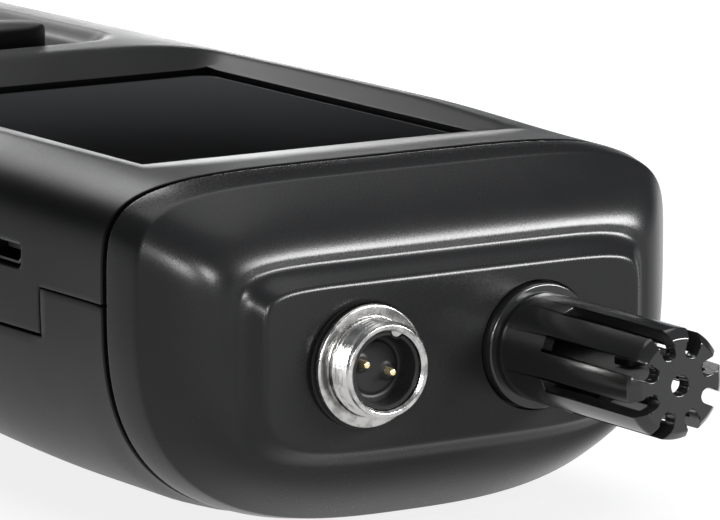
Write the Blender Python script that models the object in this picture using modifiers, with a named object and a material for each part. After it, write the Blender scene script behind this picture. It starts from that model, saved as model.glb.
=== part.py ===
"""Handheld weather meter.

Two moulded shells hold a display, a keypad, boards and a battery. A separate end cap closes the
front and carries a threaded probe socket and a slotted cage over an air sensor.

World frame: +Z up out of the display, -Y out of the sensor end, origin on the resting surface
under the middle. Inside the empty meter_frame, which every piece is parented to, Y = 0 is the
groove between body and end cap, and Z = 0 is the widest line of the body. Sizes are in metres.
"""

import math

import bmesh
import bpy
from mathutils import Matrix

# Clearances
SEAT_GAP = 0.0003
KEY_CLEARANCE = 0.0003
THREAD_CLEARANCE = 0.0003

# Body
BODY_HALF_WIDTH = 0.0392
CROWN_HEIGHT = 0.0148
BELLY_DEPTH = 0.0294
CROWN_POWER = 4.9
BELLY_POWER = 2.82
SECTION_POINTS = 40
SIDE_SWELL = 0.0008
CROWN_RISE = 0.0009
SWELL_PLACE = 0.040
HEAD_BULGE = 0.0009
HEAD_FLAT = (0.008, 0.022)
TAIL_FLAT_LENGTH = 0.021
ARCH_HEIGHT = 0.0028
FLAT_CUT = 0.0003
TAIL_RADIUS = 0.012
TAIL_TAPER = 0.0016
REST_DEPTH = BELLY_DEPTH + HEAD_BULGE - FLAT_CUT
GROOVE_HALF = 0.00025
EDGE_CHAMFER = 0.0003
SHELL_WALL = 0.0024
CEILING = 0.0102
SEAL_REBATE_DEPTH = 0.0012
SEAL_REBATE_LENGTH = 0.0022
SEAL_WIDTH = 0.0009

# Parting line between the shells, with the upper shell's tongue round the USB port
PARTING_HEIGHT = -0.0003
PARTING_GAP = 0.0003
TONGUE_DROP = 0.0057
TONGUE_MARGIN = 0.0050

# End cap
RIM_LENGTH = 0.0062
RIM_INSET = 0.0007
CAP_WALL = 0.0024
SPIGOT_LENGTH = 0.0035
SPIGOT_WALL = 0.0014
PILLOW_DEPTH = 0.0083
PLATFORM_REACH = 0.0173
PLATFORM_HALF_WIDTH = 0.02675
PLATFORM_CENTRE = -0.0075
PLATFORM_TOP_POWER = 9.0
PLATFORM_BASE_POWER = 4.5
PLATFORM_SLOPE = 0.0022
PLATFORM_WALL = 0.0032
PLATFORM_SIDE_WALL = 0.0016

# Display
WINDOW_WIDTH = 0.048
WINDOW_LENGTH = 0.0642
WINDOW_THICKNESS = 0.0013
WINDOW_START = 0.0162
WINDOW_HEIGHT = 0.0130
WINDOW_RECESS = 0.0005
WINDOW_EDGE = 0.0002
TRAY_NEAR_SLOPE = 0.14
TRAY_SIDE_SLOPE = 0.25
TRAY_FAR_SLOPE = 0.176
WINDOW_LEDGE = 0.0025
MODULE_THICKNESS = 0.0043
FRAME_RING = 0.002
RIBBON_WIDTH = 0.018

# Keypad, from the crest behind the display tray to the tail
CREST_LENGTH = 0.0216
TAIL_ROOM = 0.024
KEYPAD_FLOOR = 0.0134
KEYPAD_HALF_WIDTH = 0.0215
KEYPAD_CORNER = 0.008
KEYPAD_WALL_SLOPE = 0.72
KEY_HEIGHT = 0.0041
KEY_TRAVEL = 0.0008
KEY_FLANGE = 0.0007
KEY_FLANGE_THICKNESS = 0.0008
KEY_SPACING = 0.0020
KEY_ROUNDING = 0.0006
SOFT_KEY_WIDTH = 0.0140
SOFT_KEY_DEPTH = 0.0090
SOFT_KEY_END = 0.0043
SOFT_KEY_CORNER = 0.0012
PAD_RADIUS = 0.0135
OK_RADIUS = 0.0046
POWER_WIDTH = 0.0130
POWER_DEPTH = 0.0070
ROW_SPACING = 0.0035
DOME_RADIUS = 0.0018
DOME_HEIGHT = 0.0012
MAT_THICKNESS = 0.0008
MAT_MARGIN = 0.0015
KEYPAD_START = WINDOW_START + WINDOW_LENGTH + CREST_LENGTH
KEYPAD_END = KEYPAD_START + 4 * ROW_SPACING + SOFT_KEY_DEPTH + 2 * PAD_RADIUS + POWER_DEPTH
BODY_LENGTH = KEYPAD_END + TAIL_ROOM

# Boards, posts and battery
BOARD_THICKNESS = 0.0016
BOARD_START = 0.0138
BOARD_SIDE_ROOM = 0.0036
POST_RADIUS = 0.0028
POST_INSET = 0.0060
BATTERY_WIDTH = 0.050
BATTERY_LENGTH = 0.070
BATTERY_THICKNESS = 0.010
BATTERY_START = 0.058
BATTERY_LIFT = 0.0005
RIB_THICKNESS = 0.0016
LEAD_RADIUS = 0.0007

# Screws
BOSS_RADIUS = 0.0046
FRONT_BOSS_PLACE = 0.0085
REAR_BOSS_MARGIN = 0.020
BOSS_SIDE_ROOM = 0.0172
CASE_SCREW_RADIUS = 0.00145
CASE_SCREW_HEAD = 0.0028
CASE_SCREW_LENGTH = 0.019
CASE_SCREW_SEAT = -0.0140
BOARD_SCREW_RADIUS = 0.0011
BOARD_SCREW_HEAD = 0.0021
BOARD_SCREW_LENGTH = 0.0060
SCREW_HEAD_HEIGHT = 0.0018

# USB port in the left side
USB_PLACE = 0.024
USB_WIDTH = 0.0075
USB_HEIGHT = 0.0027
USB_DEPTH = 0.0056
USB_WALL = 0.0003
USB_SETBACK = 0.0010
USB_MOUTH_MARGIN = 0.00075
TONGUE_LENGTH = 0.0036

# Socket for an outside probe
SOCKET_X = -0.0133
SOCKET_Z = -0.0071
SOCKET_THREAD = 0.0060
SOCKET_BORE = 0.00483
SOCKET_FLANGE = SOCKET_THREAD + 0.0015
SOCKET_FLANGE_THICKNESS = 0.0008
SOCKET_REACH = 0.0055
SOCKET_TAIL = 0.0085
WASHER_THICKNESS = 0.00035
INSERT_FACE = 0.0022
PIN_RADIUS = 0.0005
PIN_SPACING = 0.0039
PIN_REACH = 0.0037
KEY_RIDGE = 0.0008
SOCKET_TURN = math.radians(-19)
NUT_WALL = 0.0008
NUT_THICKNESS = 0.0022
NUT_ROOM = 0.00135
NUT_HALF = SOCKET_THREAD + THREAD_CLEARANCE + NUT_WALL
PLATFORM_HALF_HEIGHT = NUT_HALF + NUT_ROOM + PLATFORM_SIDE_WALL

# Air sensor
SENSOR_X = 0.0118
SENSOR_Z = -0.0074
COLLAR_REACH = 0.0013
COUNTERBORE_DEPTH = 0.0015
COUNTERBORE_MARGIN = 0.0005
NECK_RADIUS = 0.0056
NECK_TAIL = 0.0065
NECK_BORE = 0.0034
CAGE_RADIUS = 0.00675
COLLAR_RADIUS = CAGE_RADIUS + 0.0010
CAGE_REACH = 0.0300
CAGE_WALL = 0.0015
CAGE_TIP = 0.0020
CAGE_CHAMFER = 0.0011
CAGE_HOLE = 0.00125
SLOT_COUNT = 8
SLOT_WIDTH = 0.0019
SLOT_LENGTH = 0.0195
SLOT_INNER = 0.0044
SENSOR_BOARD_WIDTH = 0.0056
SENSOR_BOARD_THICKNESS = 0.0010
SENSOR_BOARD_REACH = 0.0225

# Colours as (red, green, blue), roughness, metallic
BODY_BLACK = ((0.020, 0.020, 0.022), 0.38, 0.0)
CAP_BLACK = ((0.016, 0.016, 0.017), 0.33, 0.0)
GLOSS_BLACK = ((0.004, 0.004, 0.005), 0.06, 0.0)
RUBBER = ((0.025, 0.025, 0.026), 0.75, 0.0)
NICKEL = ((0.72, 0.71, 0.69), 0.22, 1.0)
STEEL = ((0.55, 0.55, 0.56), 0.35, 1.0)
GOLD = ((0.80, 0.66, 0.38), 0.25, 1.0)
BOARD_GREEN = ((0.02, 0.16, 0.07), 0.5, 0.0)
CELL_GREY = ((0.45, 0.46, 0.48), 0.45, 0.0)
WIRE_RED = ((0.45, 0.02, 0.02), 0.5, 0.0)

# Turned fittings point their local +Z out of the front, and side fittings theirs to the right.
FORWARD = (math.pi / 2, 0, 0)
SIDEWAYS = (math.pi / 2, 0, math.pi / 2)
FAR = 0.06


# ---------------------------------------------------------------- scene helpers


def clear_scene():
    for obj in list(bpy.data.objects):
        bpy.data.objects.remove(obj, do_unlink=True)


def collection(name):
    """The named collection, linked to the scene the first time."""
    found = bpy.data.collections.get(name)
    if not found:
        found = bpy.data.collections.new(name)
        bpy.context.scene.collection.children.link(found)
    return found


def add(name, data, group, location, rotation):
    obj = bpy.data.objects.new(name, data)
    obj.location = location
    obj.rotation_euler = rotation
    obj.parent = bpy.data.objects["meter_frame"]
    collection(group).objects.link(obj)
    return obj


def piece(name, data, finish, location=(0, 0, 0), rotation=(0, 0, 0)):
    """A part of the meter, with a material of its own."""
    colour, roughness, metallic = finish
    made = bpy.data.materials.new(name)
    made.use_nodes = True
    shader = made.node_tree.nodes["Principled BSDF"]
    shader.inputs["Base Color"].default_value = (*colour, 1.0)
    shader.inputs["Roughness"].default_value = roughness
    shader.inputs["Metallic"].default_value = metallic
    data.materials.append(made)
    return add(name, data, "weather_meter", location, rotation)


def cutter(name, data, location=(0, 0, 0), rotation=(0, 0, 0)):
    obj = add(name, data, "cutters", location, rotation)
    obj.hide_render = True
    obj.display_type = "WIRE"
    return obj


def boolean(target, tool, operation="DIFFERENCE"):
    modifier = target.modifiers.new(f"{operation.lower()}_{tool.name}", "BOOLEAN")
    modifier.operation = operation
    modifier.object = tool
    modifier.solver = "EXACT"


def bevel(target, width, segments=1):
    modifier = target.modifiers.new("rounding", "BEVEL")
    modifier.width = width
    modifier.segments = segments
    modifier.limit_method = "ANGLE"
    modifier.angle_limit = math.radians(40)


# ---------------------------------------------------------------- mesh builders


def finished(name, shape):
    """The bmesh as mesh data, faces outward, smooth but for its sharp edges."""
    bmesh.ops.recalc_face_normals(shape, faces=shape.faces)
    mesh = bpy.data.meshes.new(name)
    shape.to_mesh(mesh)
    shape.free()
    mesh.shade_smooth()
    mesh.set_sharp_from_angle(angle=math.radians(35))
    return mesh


def loft(name, loops):
    """A closed solid through loops that all have as many points as the first."""
    shape = bmesh.new()
    rings = [[shape.verts.new(point) for point in loop] for loop in loops]
    for ring, following in zip(rings, rings[1:]):
        for index in range(len(ring)):
            after = (index + 1) % len(ring)
            shape.faces.new((ring[index], ring[after], following[after], following[index]))
    shape.faces.new(rings[0])
    shape.faces.new(rings[-1])
    return finished(name, shape)


def add_box(shape, low, high):
    size = [b - a for a, b in zip(low, high)]
    middle = [(a + b) / 2 for a, b in zip(low, high)]
    matrix = Matrix.Translation(middle) @ Matrix.Diagonal((*size, 1))
    bmesh.ops.create_cube(shape, size=1, matrix=matrix)


def boxes(name, *corner_pairs):
    shape = bmesh.new()
    for low, high in corner_pairs:
        add_box(shape, low, high)
    return finished(name, shape)


def cylinders(name, places, radius, low, high, sides=24, top_radius=None):
    """Upright cylinders, or cones with a top_radius, one at each (x, y)."""
    shape = bmesh.new()
    for x, y in places:
        bmesh.ops.create_cone(
            shape,
            cap_ends=True,
            segments=sides,
            radius1=radius,
            radius2=radius if top_radius is None else top_radius,
            depth=high - low,
            matrix=Matrix.Translation((x, y, (low + high) / 2)),
        )
    return finished(name, shape)


def prisms(name, outlines, low, high):
    """Flat outlines raised from low to high, as one mesh."""
    curve = bpy.data.curves.new(name, "CURVE")
    curve.dimensions = "2D"
    curve.fill_mode = "BOTH"
    curve.extrude = (high - low) / 2
    for outline in outlines:
        spline = curve.splines.new("POLY")
        spline.points.add(len(outline) - 1)
        for point, (x, y) in zip(spline.points, outline):
            point.co = (x, y, 0, 1)
        spline.use_cyclic_u = True
    guide = bpy.data.objects.new(name, curve)
    bpy.context.scene.collection.objects.link(guide)
    graph = bpy.context.evaluated_depsgraph_get()
    drawn = bpy.data.meshes.new_from_object(guide.evaluated_get(graph))
    bpy.data.objects.remove(guide)
    bpy.data.curves.remove(curve)
    shape = bmesh.new()
    shape.from_mesh(drawn)
    bpy.data.meshes.remove(drawn)
    bmesh.ops.remove_doubles(shape, verts=shape.verts, dist=1e-6)
    bmesh.ops.translate(shape, verts=shape.verts, vec=(0, 0, (low + high) / 2))
    return finished(name, shape)


def turned(name, profile, finish, location, rotation=FORWARD, steps=24):
    """A piece turned about its local Z. The profile runs down its outer side."""
    shape = bmesh.new()
    corners = [shape.verts.new((radius, 0, height)) for radius, height in profile]
    closed = profile[0][0] > 0
    for here, there in zip(corners, corners[1:] + corners[:1] if closed else corners[1:]):
        shape.edges.new((here, there))
    mesh = bpy.data.meshes.new(name)
    shape.to_mesh(mesh)
    shape.free()
    obj = piece(name, mesh, finish, location, rotation)
    spin = obj.modifiers.new("turning", "SCREW")
    spin.axis = "Z"
    spin.steps = steps
    spin.render_steps = steps
    spin.use_merge_vertices = True
    spin.merge_threshold = 1e-5
    spin.use_smooth_shade = True
    return obj


def rounded_rectangle(left, right, low, high, radii, steps=4):
    """Outline with its corner radii in the order right-top, left-top, left-low, right-low."""
    corners = [(right, high, -1, -1), (left, high, 1, -1), (left, low, 1, 1), (right, low, -1, 1)]
    points = []
    for turn, ((x, y, inward_x, inward_y), radius) in enumerate(zip(corners, radii)):
        for step in range(steps + 1):
            angle = math.pi / 2 * (turn + step / steps)
            points.append(
                (
                    x + radius * (inward_x + math.cos(angle)),
                    y + radius * (inward_y + math.sin(angle)),
                )
            )
    return points


# ---------------------------------------------------------------- body form


def eased(stations, place):
    """The value at a place, easing smoothly from each (place, value) station to the next."""
    if place <= stations[0][0]:
        return stations[0][1]
    for (start, first), (end, last) in zip(stations, stations[1:]):
        if place <= end:
            share = (place - start) / (end - start)
            return first + (last - first) * share * share * (3 - 2 * share)
    return stations[-1][1]


def tail_start():
    return BODY_LENGTH - TAIL_RADIUS


def half_width_at(place):
    wide = BODY_HALF_WIDTH + SIDE_SWELL
    stations = [(0, BODY_HALF_WIDTH), (SWELL_PLACE, wide), (tail_start(), wide - TAIL_TAPER)]
    return eased(stations, place)


def crown_at(place):
    high = CROWN_HEIGHT + CROWN_RISE
    stations = [(0, CROWN_HEIGHT), (SWELL_PLACE, high), (tail_start(), high - CROWN_RISE / 2)]
    return eased(stations, place)


def arch_places():
    """Where the underside's arch starts, peaks and ends, between the two rest flats."""
    start, end = HEAD_FLAT[1], tail_start() - TAIL_FLAT_LENGTH
    return start, (start + end) / 2, end


def belly_at(place):
    deep = BELLY_DEPTH + HEAD_BULGE
    start, peak, end = arch_places()
    stations = [
        (0, BELLY_DEPTH),
        (HEAD_FLAT[0], deep),
        (start, deep),
        (peak, deep - ARCH_HEIGHT),
        (end, deep),
    ]
    return eased(stations, place)


def section(place, half_width, crown, belly, floor=FAR, powers=(CROWN_POWER, BELLY_POWER)):
    """Outline across the body: two superellipse halves that meet at the widest line, cut off
    level at the floor."""
    points = []
    for step in range(SECTION_POINTS):
        angle = 2 * math.pi * step / SECTION_POINTS
        across, up = math.cos(angle), math.sin(angle)
        power, reach = (powers[0], crown) if up >= 0 else (powers[1], belly)
        x = math.copysign(abs(across) ** (2 / power), across) * half_width
        z = math.copysign(abs(up) ** (2 / power), up) * reach
        points.append((x, place, max(z, -floor)))
    return points


def rim_loop(place, inset):
    """Outline of the end cap's rim, drawn inward by an inset."""
    sizes = [size - inset for size in (BODY_HALF_WIDTH, CROWN_HEIGHT, BELLY_DEPTH)]
    return section(place, *sizes)


def outer_loop(place, inset=0.0, form_place=None):
    """The body's outside at a place, or drawn inward by an inset."""
    form = place if form_place is None else form_place
    return section(
        place,
        half_width_at(form) - inset,
        crown_at(form) - inset,
        belly_at(form) - inset,
        REST_DEPTH - inset,
    )


def inner_loop(place, inset, tail_inset=0.0, form_place=None):
    """The body's inside: the walls follow the outside, under a level ceiling."""
    form = place if form_place is None else form_place
    return section(
        place,
        half_width_at(form) - inset - tail_inset,
        CEILING - tail_inset,
        belly_at(form) - inset - tail_inset,
        REST_DEPTH - inset - tail_inset,
    )


def tail_steps(radius, start, count):
    """(place, inset) down a quarter-round end that starts at a place."""
    for step in range(count + 1):
        angle = math.pi / 2 * step / count
        yield start + radius * math.sin(angle), radius * (1 - math.cos(angle))


def evenly(start, end, count):
    """The start and the places after it that divide the way to the end in a count of steps."""
    return [start + (end - start) * step / count for step in range(count)]


def body_solid(name):
    arch_start, _, arch_end = arch_places()
    rear = tail_start()
    places = [GROOVE_HALF + EDGE_CHAMFER, HEAD_FLAT[0] / 2, HEAD_FLAT[0]]
    places += evenly(arch_start, arch_end, 8) + [arch_end]
    loops = [outer_loop(GROOVE_HALF, EDGE_CHAMFER)]
    loops += [outer_loop(place) for place in places]
    loops += [outer_loop(place, inset, rear) for place, inset in tail_steps(TAIL_RADIUS, rear, 4)]
    return loft(name, loops)


def body_cavity(name):
    """The room inside the shells. At the front it widens for the end cap's spigot, and again for
    the seal's rebate."""
    rebate_end = GROOVE_HALF + SEAL_REBATE_LENGTH
    spigot_room = SPIGOT_LENGTH + SEAT_GAP
    loops = [
        rim_loop(-2 * GROOVE_HALF, SEAL_REBATE_DEPTH),
        rim_loop(rebate_end, SEAL_REBATE_DEPTH),
        rim_loop(rebate_end, SHELL_WALL),
        rim_loop(spigot_room, SHELL_WALL),
    ]
    rear = tail_start()
    loops += [inner_loop(place, SHELL_WALL) for place in evenly(spigot_room, rear, 6)]
    radius = TAIL_RADIUS - SHELL_WALL
    for place, inset in tail_steps(radius, rear, 2):
        loops.append(inner_loop(place, SHELL_WALL, inset, rear))
    return loft(name, loops)


# ---------------------------------------------------------------- places that several pieces share


def boss_places():
    side = BODY_HALF_WIDTH - BOSS_SIDE_ROOM
    rear = BODY_LENGTH - REAR_BOSS_MARGIN
    return [(x, y) for y in (FRONT_BOSS_PLACE, rear) for x in (-side, side)]


def battery_bottom():
    """The battery's corners clear the crowned floor where the arch makes it shallowest."""
    place = arch_places()[1]
    depth, half_width = belly_at(place) - SHELL_WALL, half_width_at(place) - SHELL_WALL
    across = (BATTERY_WIDTH / 2 / half_width) ** BELLY_POWER
    return BATTERY_LIFT - depth * (1 - across) ** (1 / BELLY_POWER)


def battery_top():
    return battery_bottom() + BATTERY_THICKNESS


def board_top():
    return board_bottom() + BOARD_THICKNESS


def board_bottom():
    return PARTING_HEIGHT - PARTING_GAP / 2 + SEAT_GAP


def board_half_width():
    return BODY_HALF_WIDTH - SHELL_WALL - BOARD_SIDE_ROOM


def board_end():
    return BODY_LENGTH - REAR_BOSS_MARGIN - BOSS_RADIUS - POST_RADIUS


def post_places():
    side = board_half_width() - POST_INSET
    ends = (USB_PLACE + USB_WIDTH / 2 + POST_INSET, board_end() - POST_INSET)
    return [(x, y) for y in ends for x in (-side, side)]


def usb_height():
    return board_top() + SEAT_GAP + USB_HEIGHT / 2


def window_box(margin, low, high):
    """Box over the window's outline, wider by a margin."""
    half = WINDOW_WIDTH / 2 + margin
    end = WINDOW_START + WINDOW_LENGTH
    return (-half, WINDOW_START - margin, low), (half, end + margin, high)


def mat_top():
    flange_bottom = CEILING - SEAT_GAP - KEY_FLANGE_THICKNESS
    return flange_bottom - KEY_TRAVEL - SEAT_GAP - DOME_HEIGHT


def soft_key_row():
    return KEYPAD_START + ROW_SPACING + SOFT_KEY_DEPTH / 2


def pad_centre():
    return soft_key_row() + SOFT_KEY_DEPTH / 2 + ROW_SPACING + PAD_RADIUS


def power_row():
    return pad_centre() + PAD_RADIUS + ROW_SPACING + POWER_DEPTH / 2


# ---------------------------------------------------------------- shells


def parting_cutter(name, above):
    """Everything above or below the parting line. The line drops round the USB port, so that
    the upper shell has a tongue there."""
    half_gap = PARTING_GAP / 2
    edge = PARTING_HEIGHT + (-half_gap if above else half_gap)
    low, high = (edge, FAR) if above else (-FAR, edge)
    tool = cutter(name, boxes(name, ((-FAR, -FAR, low), (FAR, BODY_LENGTH + FAR, high))))
    margin = USB_WIDTH / 2 + TONGUE_MARGIN + (PARTING_GAP if above else 0)
    bottom = PARTING_HEIGHT - TONGUE_DROP - (PARTING_GAP if above else 0)
    inner = -BODY_HALF_WIDTH + 2 * SHELL_WALL
    corner = (-2 * FAR, USB_PLACE - margin, bottom)
    tongue_box = boxes(f"{name}_tongue", (corner, (inner, USB_PLACE + margin, edge + PARTING_GAP)))
    tongue = cutter(f"{name}_tongue", tongue_box)
    boolean(tool, tongue, "UNION" if above else "DIFFERENCE")
    return tool


def make_cavity():
    """The inner room, less the bosses, posts and ribs that are left standing in it."""
    cavity = cutter("cavity", body_cavity("cavity"))
    bosses = cylinders("bosses", boss_places(), BOSS_RADIUS, -FAR, FAR, 16)
    boolean(cavity, cutter("bosses", bosses))
    post_top = PARTING_HEIGHT - PARTING_GAP / 2
    posts = cylinders("board_posts", post_places(), POST_RADIUS, -FAR, post_top, 12)
    boolean(cavity, cutter("board_posts", posts))
    half, end = BATTERY_WIDTH / 2, BATTERY_START + BATTERY_LENGTH
    top = battery_bottom() + 2 / 3 * BATTERY_THICKNESS
    ribs = boxes(
        "battery_ribs",
        ((-half, BATTERY_START - SEAT_GAP - RIB_THICKNESS, -FAR), (half, BATTERY_START - SEAT_GAP, top)),
        ((-half, end + SEAT_GAP, -FAR), (half, end + SEAT_GAP + RIB_THICKNESS, top)),
    )
    boolean(cavity, cutter("battery_ribs", ribs))
    return cavity


def make_lower_shell(cavity):
    shell = piece("lower_shell", body_solid("lower_shell"), BODY_BLACK)
    boolean(shell, cavity)
    boolean(shell, parting_cutter("above_parting", above=True))
    clear_radius = CASE_SCREW_RADIUS + THREAD_CLEARANCE
    bores = cylinders("case_screw_bores", boss_places(), clear_radius, -FAR, FAR, 12)
    boolean(shell, cutter("case_screw_bores", bores))
    head_radius = CASE_SCREW_HEAD + THREAD_CLEARANCE
    sinks = cylinders("case_screw_sinks", boss_places(), head_radius, -FAR, CASE_SCREW_SEAT, 16)
    boolean(shell, cutter("case_screw_sinks", sinks))
    bottom = board_top() - BOARD_SCREW_LENGTH - 2 * SEAT_GAP
    pilot_radius = BOARD_SCREW_RADIUS + THREAD_CLEARANCE
    pilots = cylinders("board_screw_pilots", post_places(), pilot_radius, bottom, FAR, 10)
    boolean(shell, cutter("board_screw_pilots", pilots))


def tray_cutter():
    """The dished tray round the window: four slopes that rise from the window's edge."""
    floor = WINDOW_HEIGHT + WINDOW_RECESS
    rise = 1.5 * CROWN_HEIGHT - floor
    low, high = window_box(SEAT_GAP, floor, floor)
    side, near, far = (rise / s for s in (TRAY_SIDE_SLOPE, TRAY_NEAR_SLOPE, TRAY_FAR_SLOPE))
    loops = []
    for share, height in ((0, floor), (1, floor + rise)):
        left, right = low[0] - share * side, high[0] + share * side
        start, end = low[1] - share * near, high[1] + share * far
        loops.append(
            [(left, start, height), (right, start, height), (right, end, height), (left, end, height)]
        )
    return cutter("display_tray", loft("display_tray", loops))


def keypad_tray_cutter():
    """A sunk field with rounded corners and sloped walls."""
    top = 1.5 * CROWN_HEIGHT
    spread = (top - KEYPAD_FLOOR) / KEYPAD_WALL_SLOPE
    loops = []
    for height, grow in ((KEYPAD_FLOOR, 0), (top, spread)):
        half = KEYPAD_HALF_WIDTH + grow
        outline = rounded_rectangle(
            -half, half, KEYPAD_START - grow, KEYPAD_END + grow, [KEYPAD_CORNER + grow] * 4
        )
        loops.append([(x, y, height) for x, y in outline])
    return cutter("keypad_tray", loft("keypad_tray", loops))


def make_upper_shell(cavity):
    shell = piece("upper_shell", body_solid("upper_shell"), BODY_BLACK)
    boolean(shell, cavity)
    boolean(shell, parting_cutter("below_parting", above=False))
    boolean(shell, tray_cutter())
    boolean(shell, keypad_tray_cutter())
    pocket_floor = WINDOW_HEIGHT - WINDOW_THICKNESS - SEAT_GAP
    pocket = boxes("window_pocket", window_box(SEAT_GAP, pocket_floor, FAR))
    boolean(shell, cutter("window_pocket", pocket))
    opening = boxes("display_opening", window_box(-WINDOW_LEDGE, 0.5 * CEILING, FAR))
    boolean(shell, cutter("display_opening", opening))
    holes = prisms("key_holes", [key[1](KEY_CLEARANCE) for key in KEYS], 0.5 * CEILING, FAR)
    boolean(shell, cutter("key_holes", holes))
    pilot_radius = CASE_SCREW_RADIUS + THREAD_CLEARANCE
    tip = CASE_SCREW_SEAT + CASE_SCREW_LENGTH + 2 * SEAT_GAP
    pilots = cylinders("case_screw_pilots", boss_places(), pilot_radius, -FAR, tip, 12)
    boolean(shell, cutter("case_screw_pilots", pilots))
    half_wide = USB_WIDTH / 2 + USB_MOUTH_MARGIN
    half_high = USB_HEIGHT / 2 + SEAT_GAP
    mouth = rounded_rectangle(-half_wide, half_wide, -half_high, half_high, [half_high / 2] * 4)
    place = (0, USB_PLACE, usb_height())
    slot = prisms("usb_mouth", [mouth], -FAR, -BODY_HALF_WIDTH + 2 * SHELL_WALL)
    boolean(shell, cutter("usb_mouth", slot, place, SIDEWAYS))


# ---------------------------------------------------------------- end cap and seal


def platform_loop(place, grow):
    """Outline of the raised platform, or of its foot with a positive grow."""
    half = PLATFORM_HALF_HEIGHT + grow
    points = section(
        place,
        PLATFORM_HALF_WIDTH + grow,
        half,
        half,
        FAR,
        (PLATFORM_TOP_POWER, PLATFORM_BASE_POWER),
    )
    return [(x, y, z + PLATFORM_CENTRE) for x, y, z in points]


def pillow_loops(start, depth, rim_inset, foot_grow, shares):
    """Loops of the bulging face, from the rim's shoulder in to the platform's foot."""
    for share in shares:
        place = -start - depth * math.sin(share * math.pi / 2)
        pairs = zip(rim_loop(place, rim_inset), platform_loop(place, foot_grow))
        yield [
            tuple(a + (b - a) * share for a, b in zip(outside, inside)) for outside, inside in pairs
        ]


def make_end_cap():
    spigot = SHELL_WALL + SEAT_GAP
    loops = [
        rim_loop(SPIGOT_LENGTH, spigot + EDGE_CHAMFER),
        rim_loop(SPIGOT_LENGTH - EDGE_CHAMFER, spigot),
        rim_loop(-GROOVE_HALF, spigot),
        rim_loop(-GROOVE_HALF, EDGE_CHAMFER),
        rim_loop(-GROOVE_HALF - EDGE_CHAMFER, 0),
        rim_loop(-0.8 * RIM_LENGTH, RIM_INSET / 3),
    ]
    shares = (0, 0.1, 0.25, 0.42, 0.6, 0.8, 1)
    loops += pillow_loops(RIM_LENGTH, PILLOW_DEPTH, RIM_INSET, PLATFORM_SLOPE, shares)
    loops += [
        platform_loop(-PLATFORM_REACH + EDGE_CHAMFER, 0.25 * PLATFORM_SLOPE),
        platform_loop(-PLATFORM_REACH, 0),
    ]
    cap = piece("end_cap", loft("end_cap", loops), CAP_BLACK)
    inner = spigot + SPIGOT_WALL
    face = RIM_LENGTH - CAP_WALL
    pocket_grow = -PLATFORM_SIDE_WALL
    hollow = [rim_loop(2 * SPIGOT_LENGTH, inner)]
    hollow += pillow_loops(face, PILLOW_DEPTH - CAP_WALL / 3, inner, pocket_grow, (0, 0.3, 0.6, 1))
    hollow.append(platform_loop(-PLATFORM_REACH + PLATFORM_WALL, pocket_grow))
    boolean(cap, cutter("end_cap_hollow", loft("end_cap_hollow", hollow)))
    fittings = (
        ("socket_hole", SOCKET_X, SOCKET_Z, SOCKET_THREAD + THREAD_CLEARANCE, FAR),
        ("sensor_hole", SENSOR_X, SENSOR_Z, NECK_RADIUS + THREAD_CLEARANCE, FAR),
        ("counterbore", SENSOR_X, SENSOR_Z, COLLAR_RADIUS + COUNTERBORE_MARGIN, COUNTERBORE_DEPTH),
    )
    for name, x, z, radius, depth in fittings:
        drill = cylinders(name, [(0, 0)], radius, -depth, FAR, 32)
        boolean(cap, cutter(name, drill, (x, -PLATFORM_REACH, z), FORWARD))


def make_seal():
    outer = SEAL_REBATE_DEPTH + SEAT_GAP
    start = GROOVE_HALF + SEAT_GAP
    end = GROOVE_HALF + SEAL_REBATE_LENGTH - SEAT_GAP
    seal = piece("end_cap_seal", loft("seal", [rim_loop(start, outer), rim_loop(end, outer)]), RUBBER)
    inside = outer + SEAL_WIDTH
    bore = [rim_loop(start - SEAL_WIDTH, inside), rim_loop(end + SEAL_WIDTH, inside)]
    boolean(seal, cutter("seal_bore", loft("seal_bore", bore)))


# ---------------------------------------------------------------- display


def make_display():
    high = WINDOW_HEIGHT
    low = high - WINDOW_THICKNESS
    window = piece("display_window", boxes("display_window", window_box(0, low, high)), GLOSS_BLACK)
    bevel(window, WINDOW_EDGE)
    top = CEILING - SEAT_GAP
    bottom = top - MODULE_THICKNESS
    margin = -WINDOW_LEDGE / 2
    module = boxes("display_module", window_box(margin, bottom, top))
    bevel(piece("display_module", module, STEEL), 2 * WINDOW_EDGE)
    frame_low, frame_high = board_top() + SEAT_GAP, bottom - SEAT_GAP
    frame = piece(
        "display_frame", boxes("display_frame", window_box(margin, frame_low, frame_high)), BODY_BLACK
    )
    room = boxes("frame_room", window_box(margin - FRAME_RING, 0, CEILING))
    boolean(frame, cutter("frame_room", room))
    make_ribbon(bottom + MODULE_THICKNESS / 2)


def make_ribbon(height):
    """A flat cable that bends from the display's far edge down to the main board."""
    start = WINDOW_START + WINDOW_LENGTH + SEAT_GAP
    drop = height - board_top() - 2 * SEAT_GAP
    shape = bmesh.new()
    rows = []
    count = 8
    for step in range(count + 1):
        angle = math.pi * step / count
        place = start + drop / 2 * (1 - math.cos(angle))
        level = height - drop * step / count
        rows.append([shape.verts.new((x * RIBBON_WIDTH / 2, place, level)) for x in (-1, 1)])
    for (a, b), (c, d) in zip(rows, rows[1:]):
        shape.faces.new((a, b, d, c))
    ribbon = piece("display_ribbon", finished("display_ribbon", shape), WIRE_RED)
    thickness = ribbon.modifiers.new("thickness", "SOLIDIFY")
    thickness.thickness = SEAT_GAP
    thickness.offset = 0


# ---------------------------------------------------------------- keypad


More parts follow.
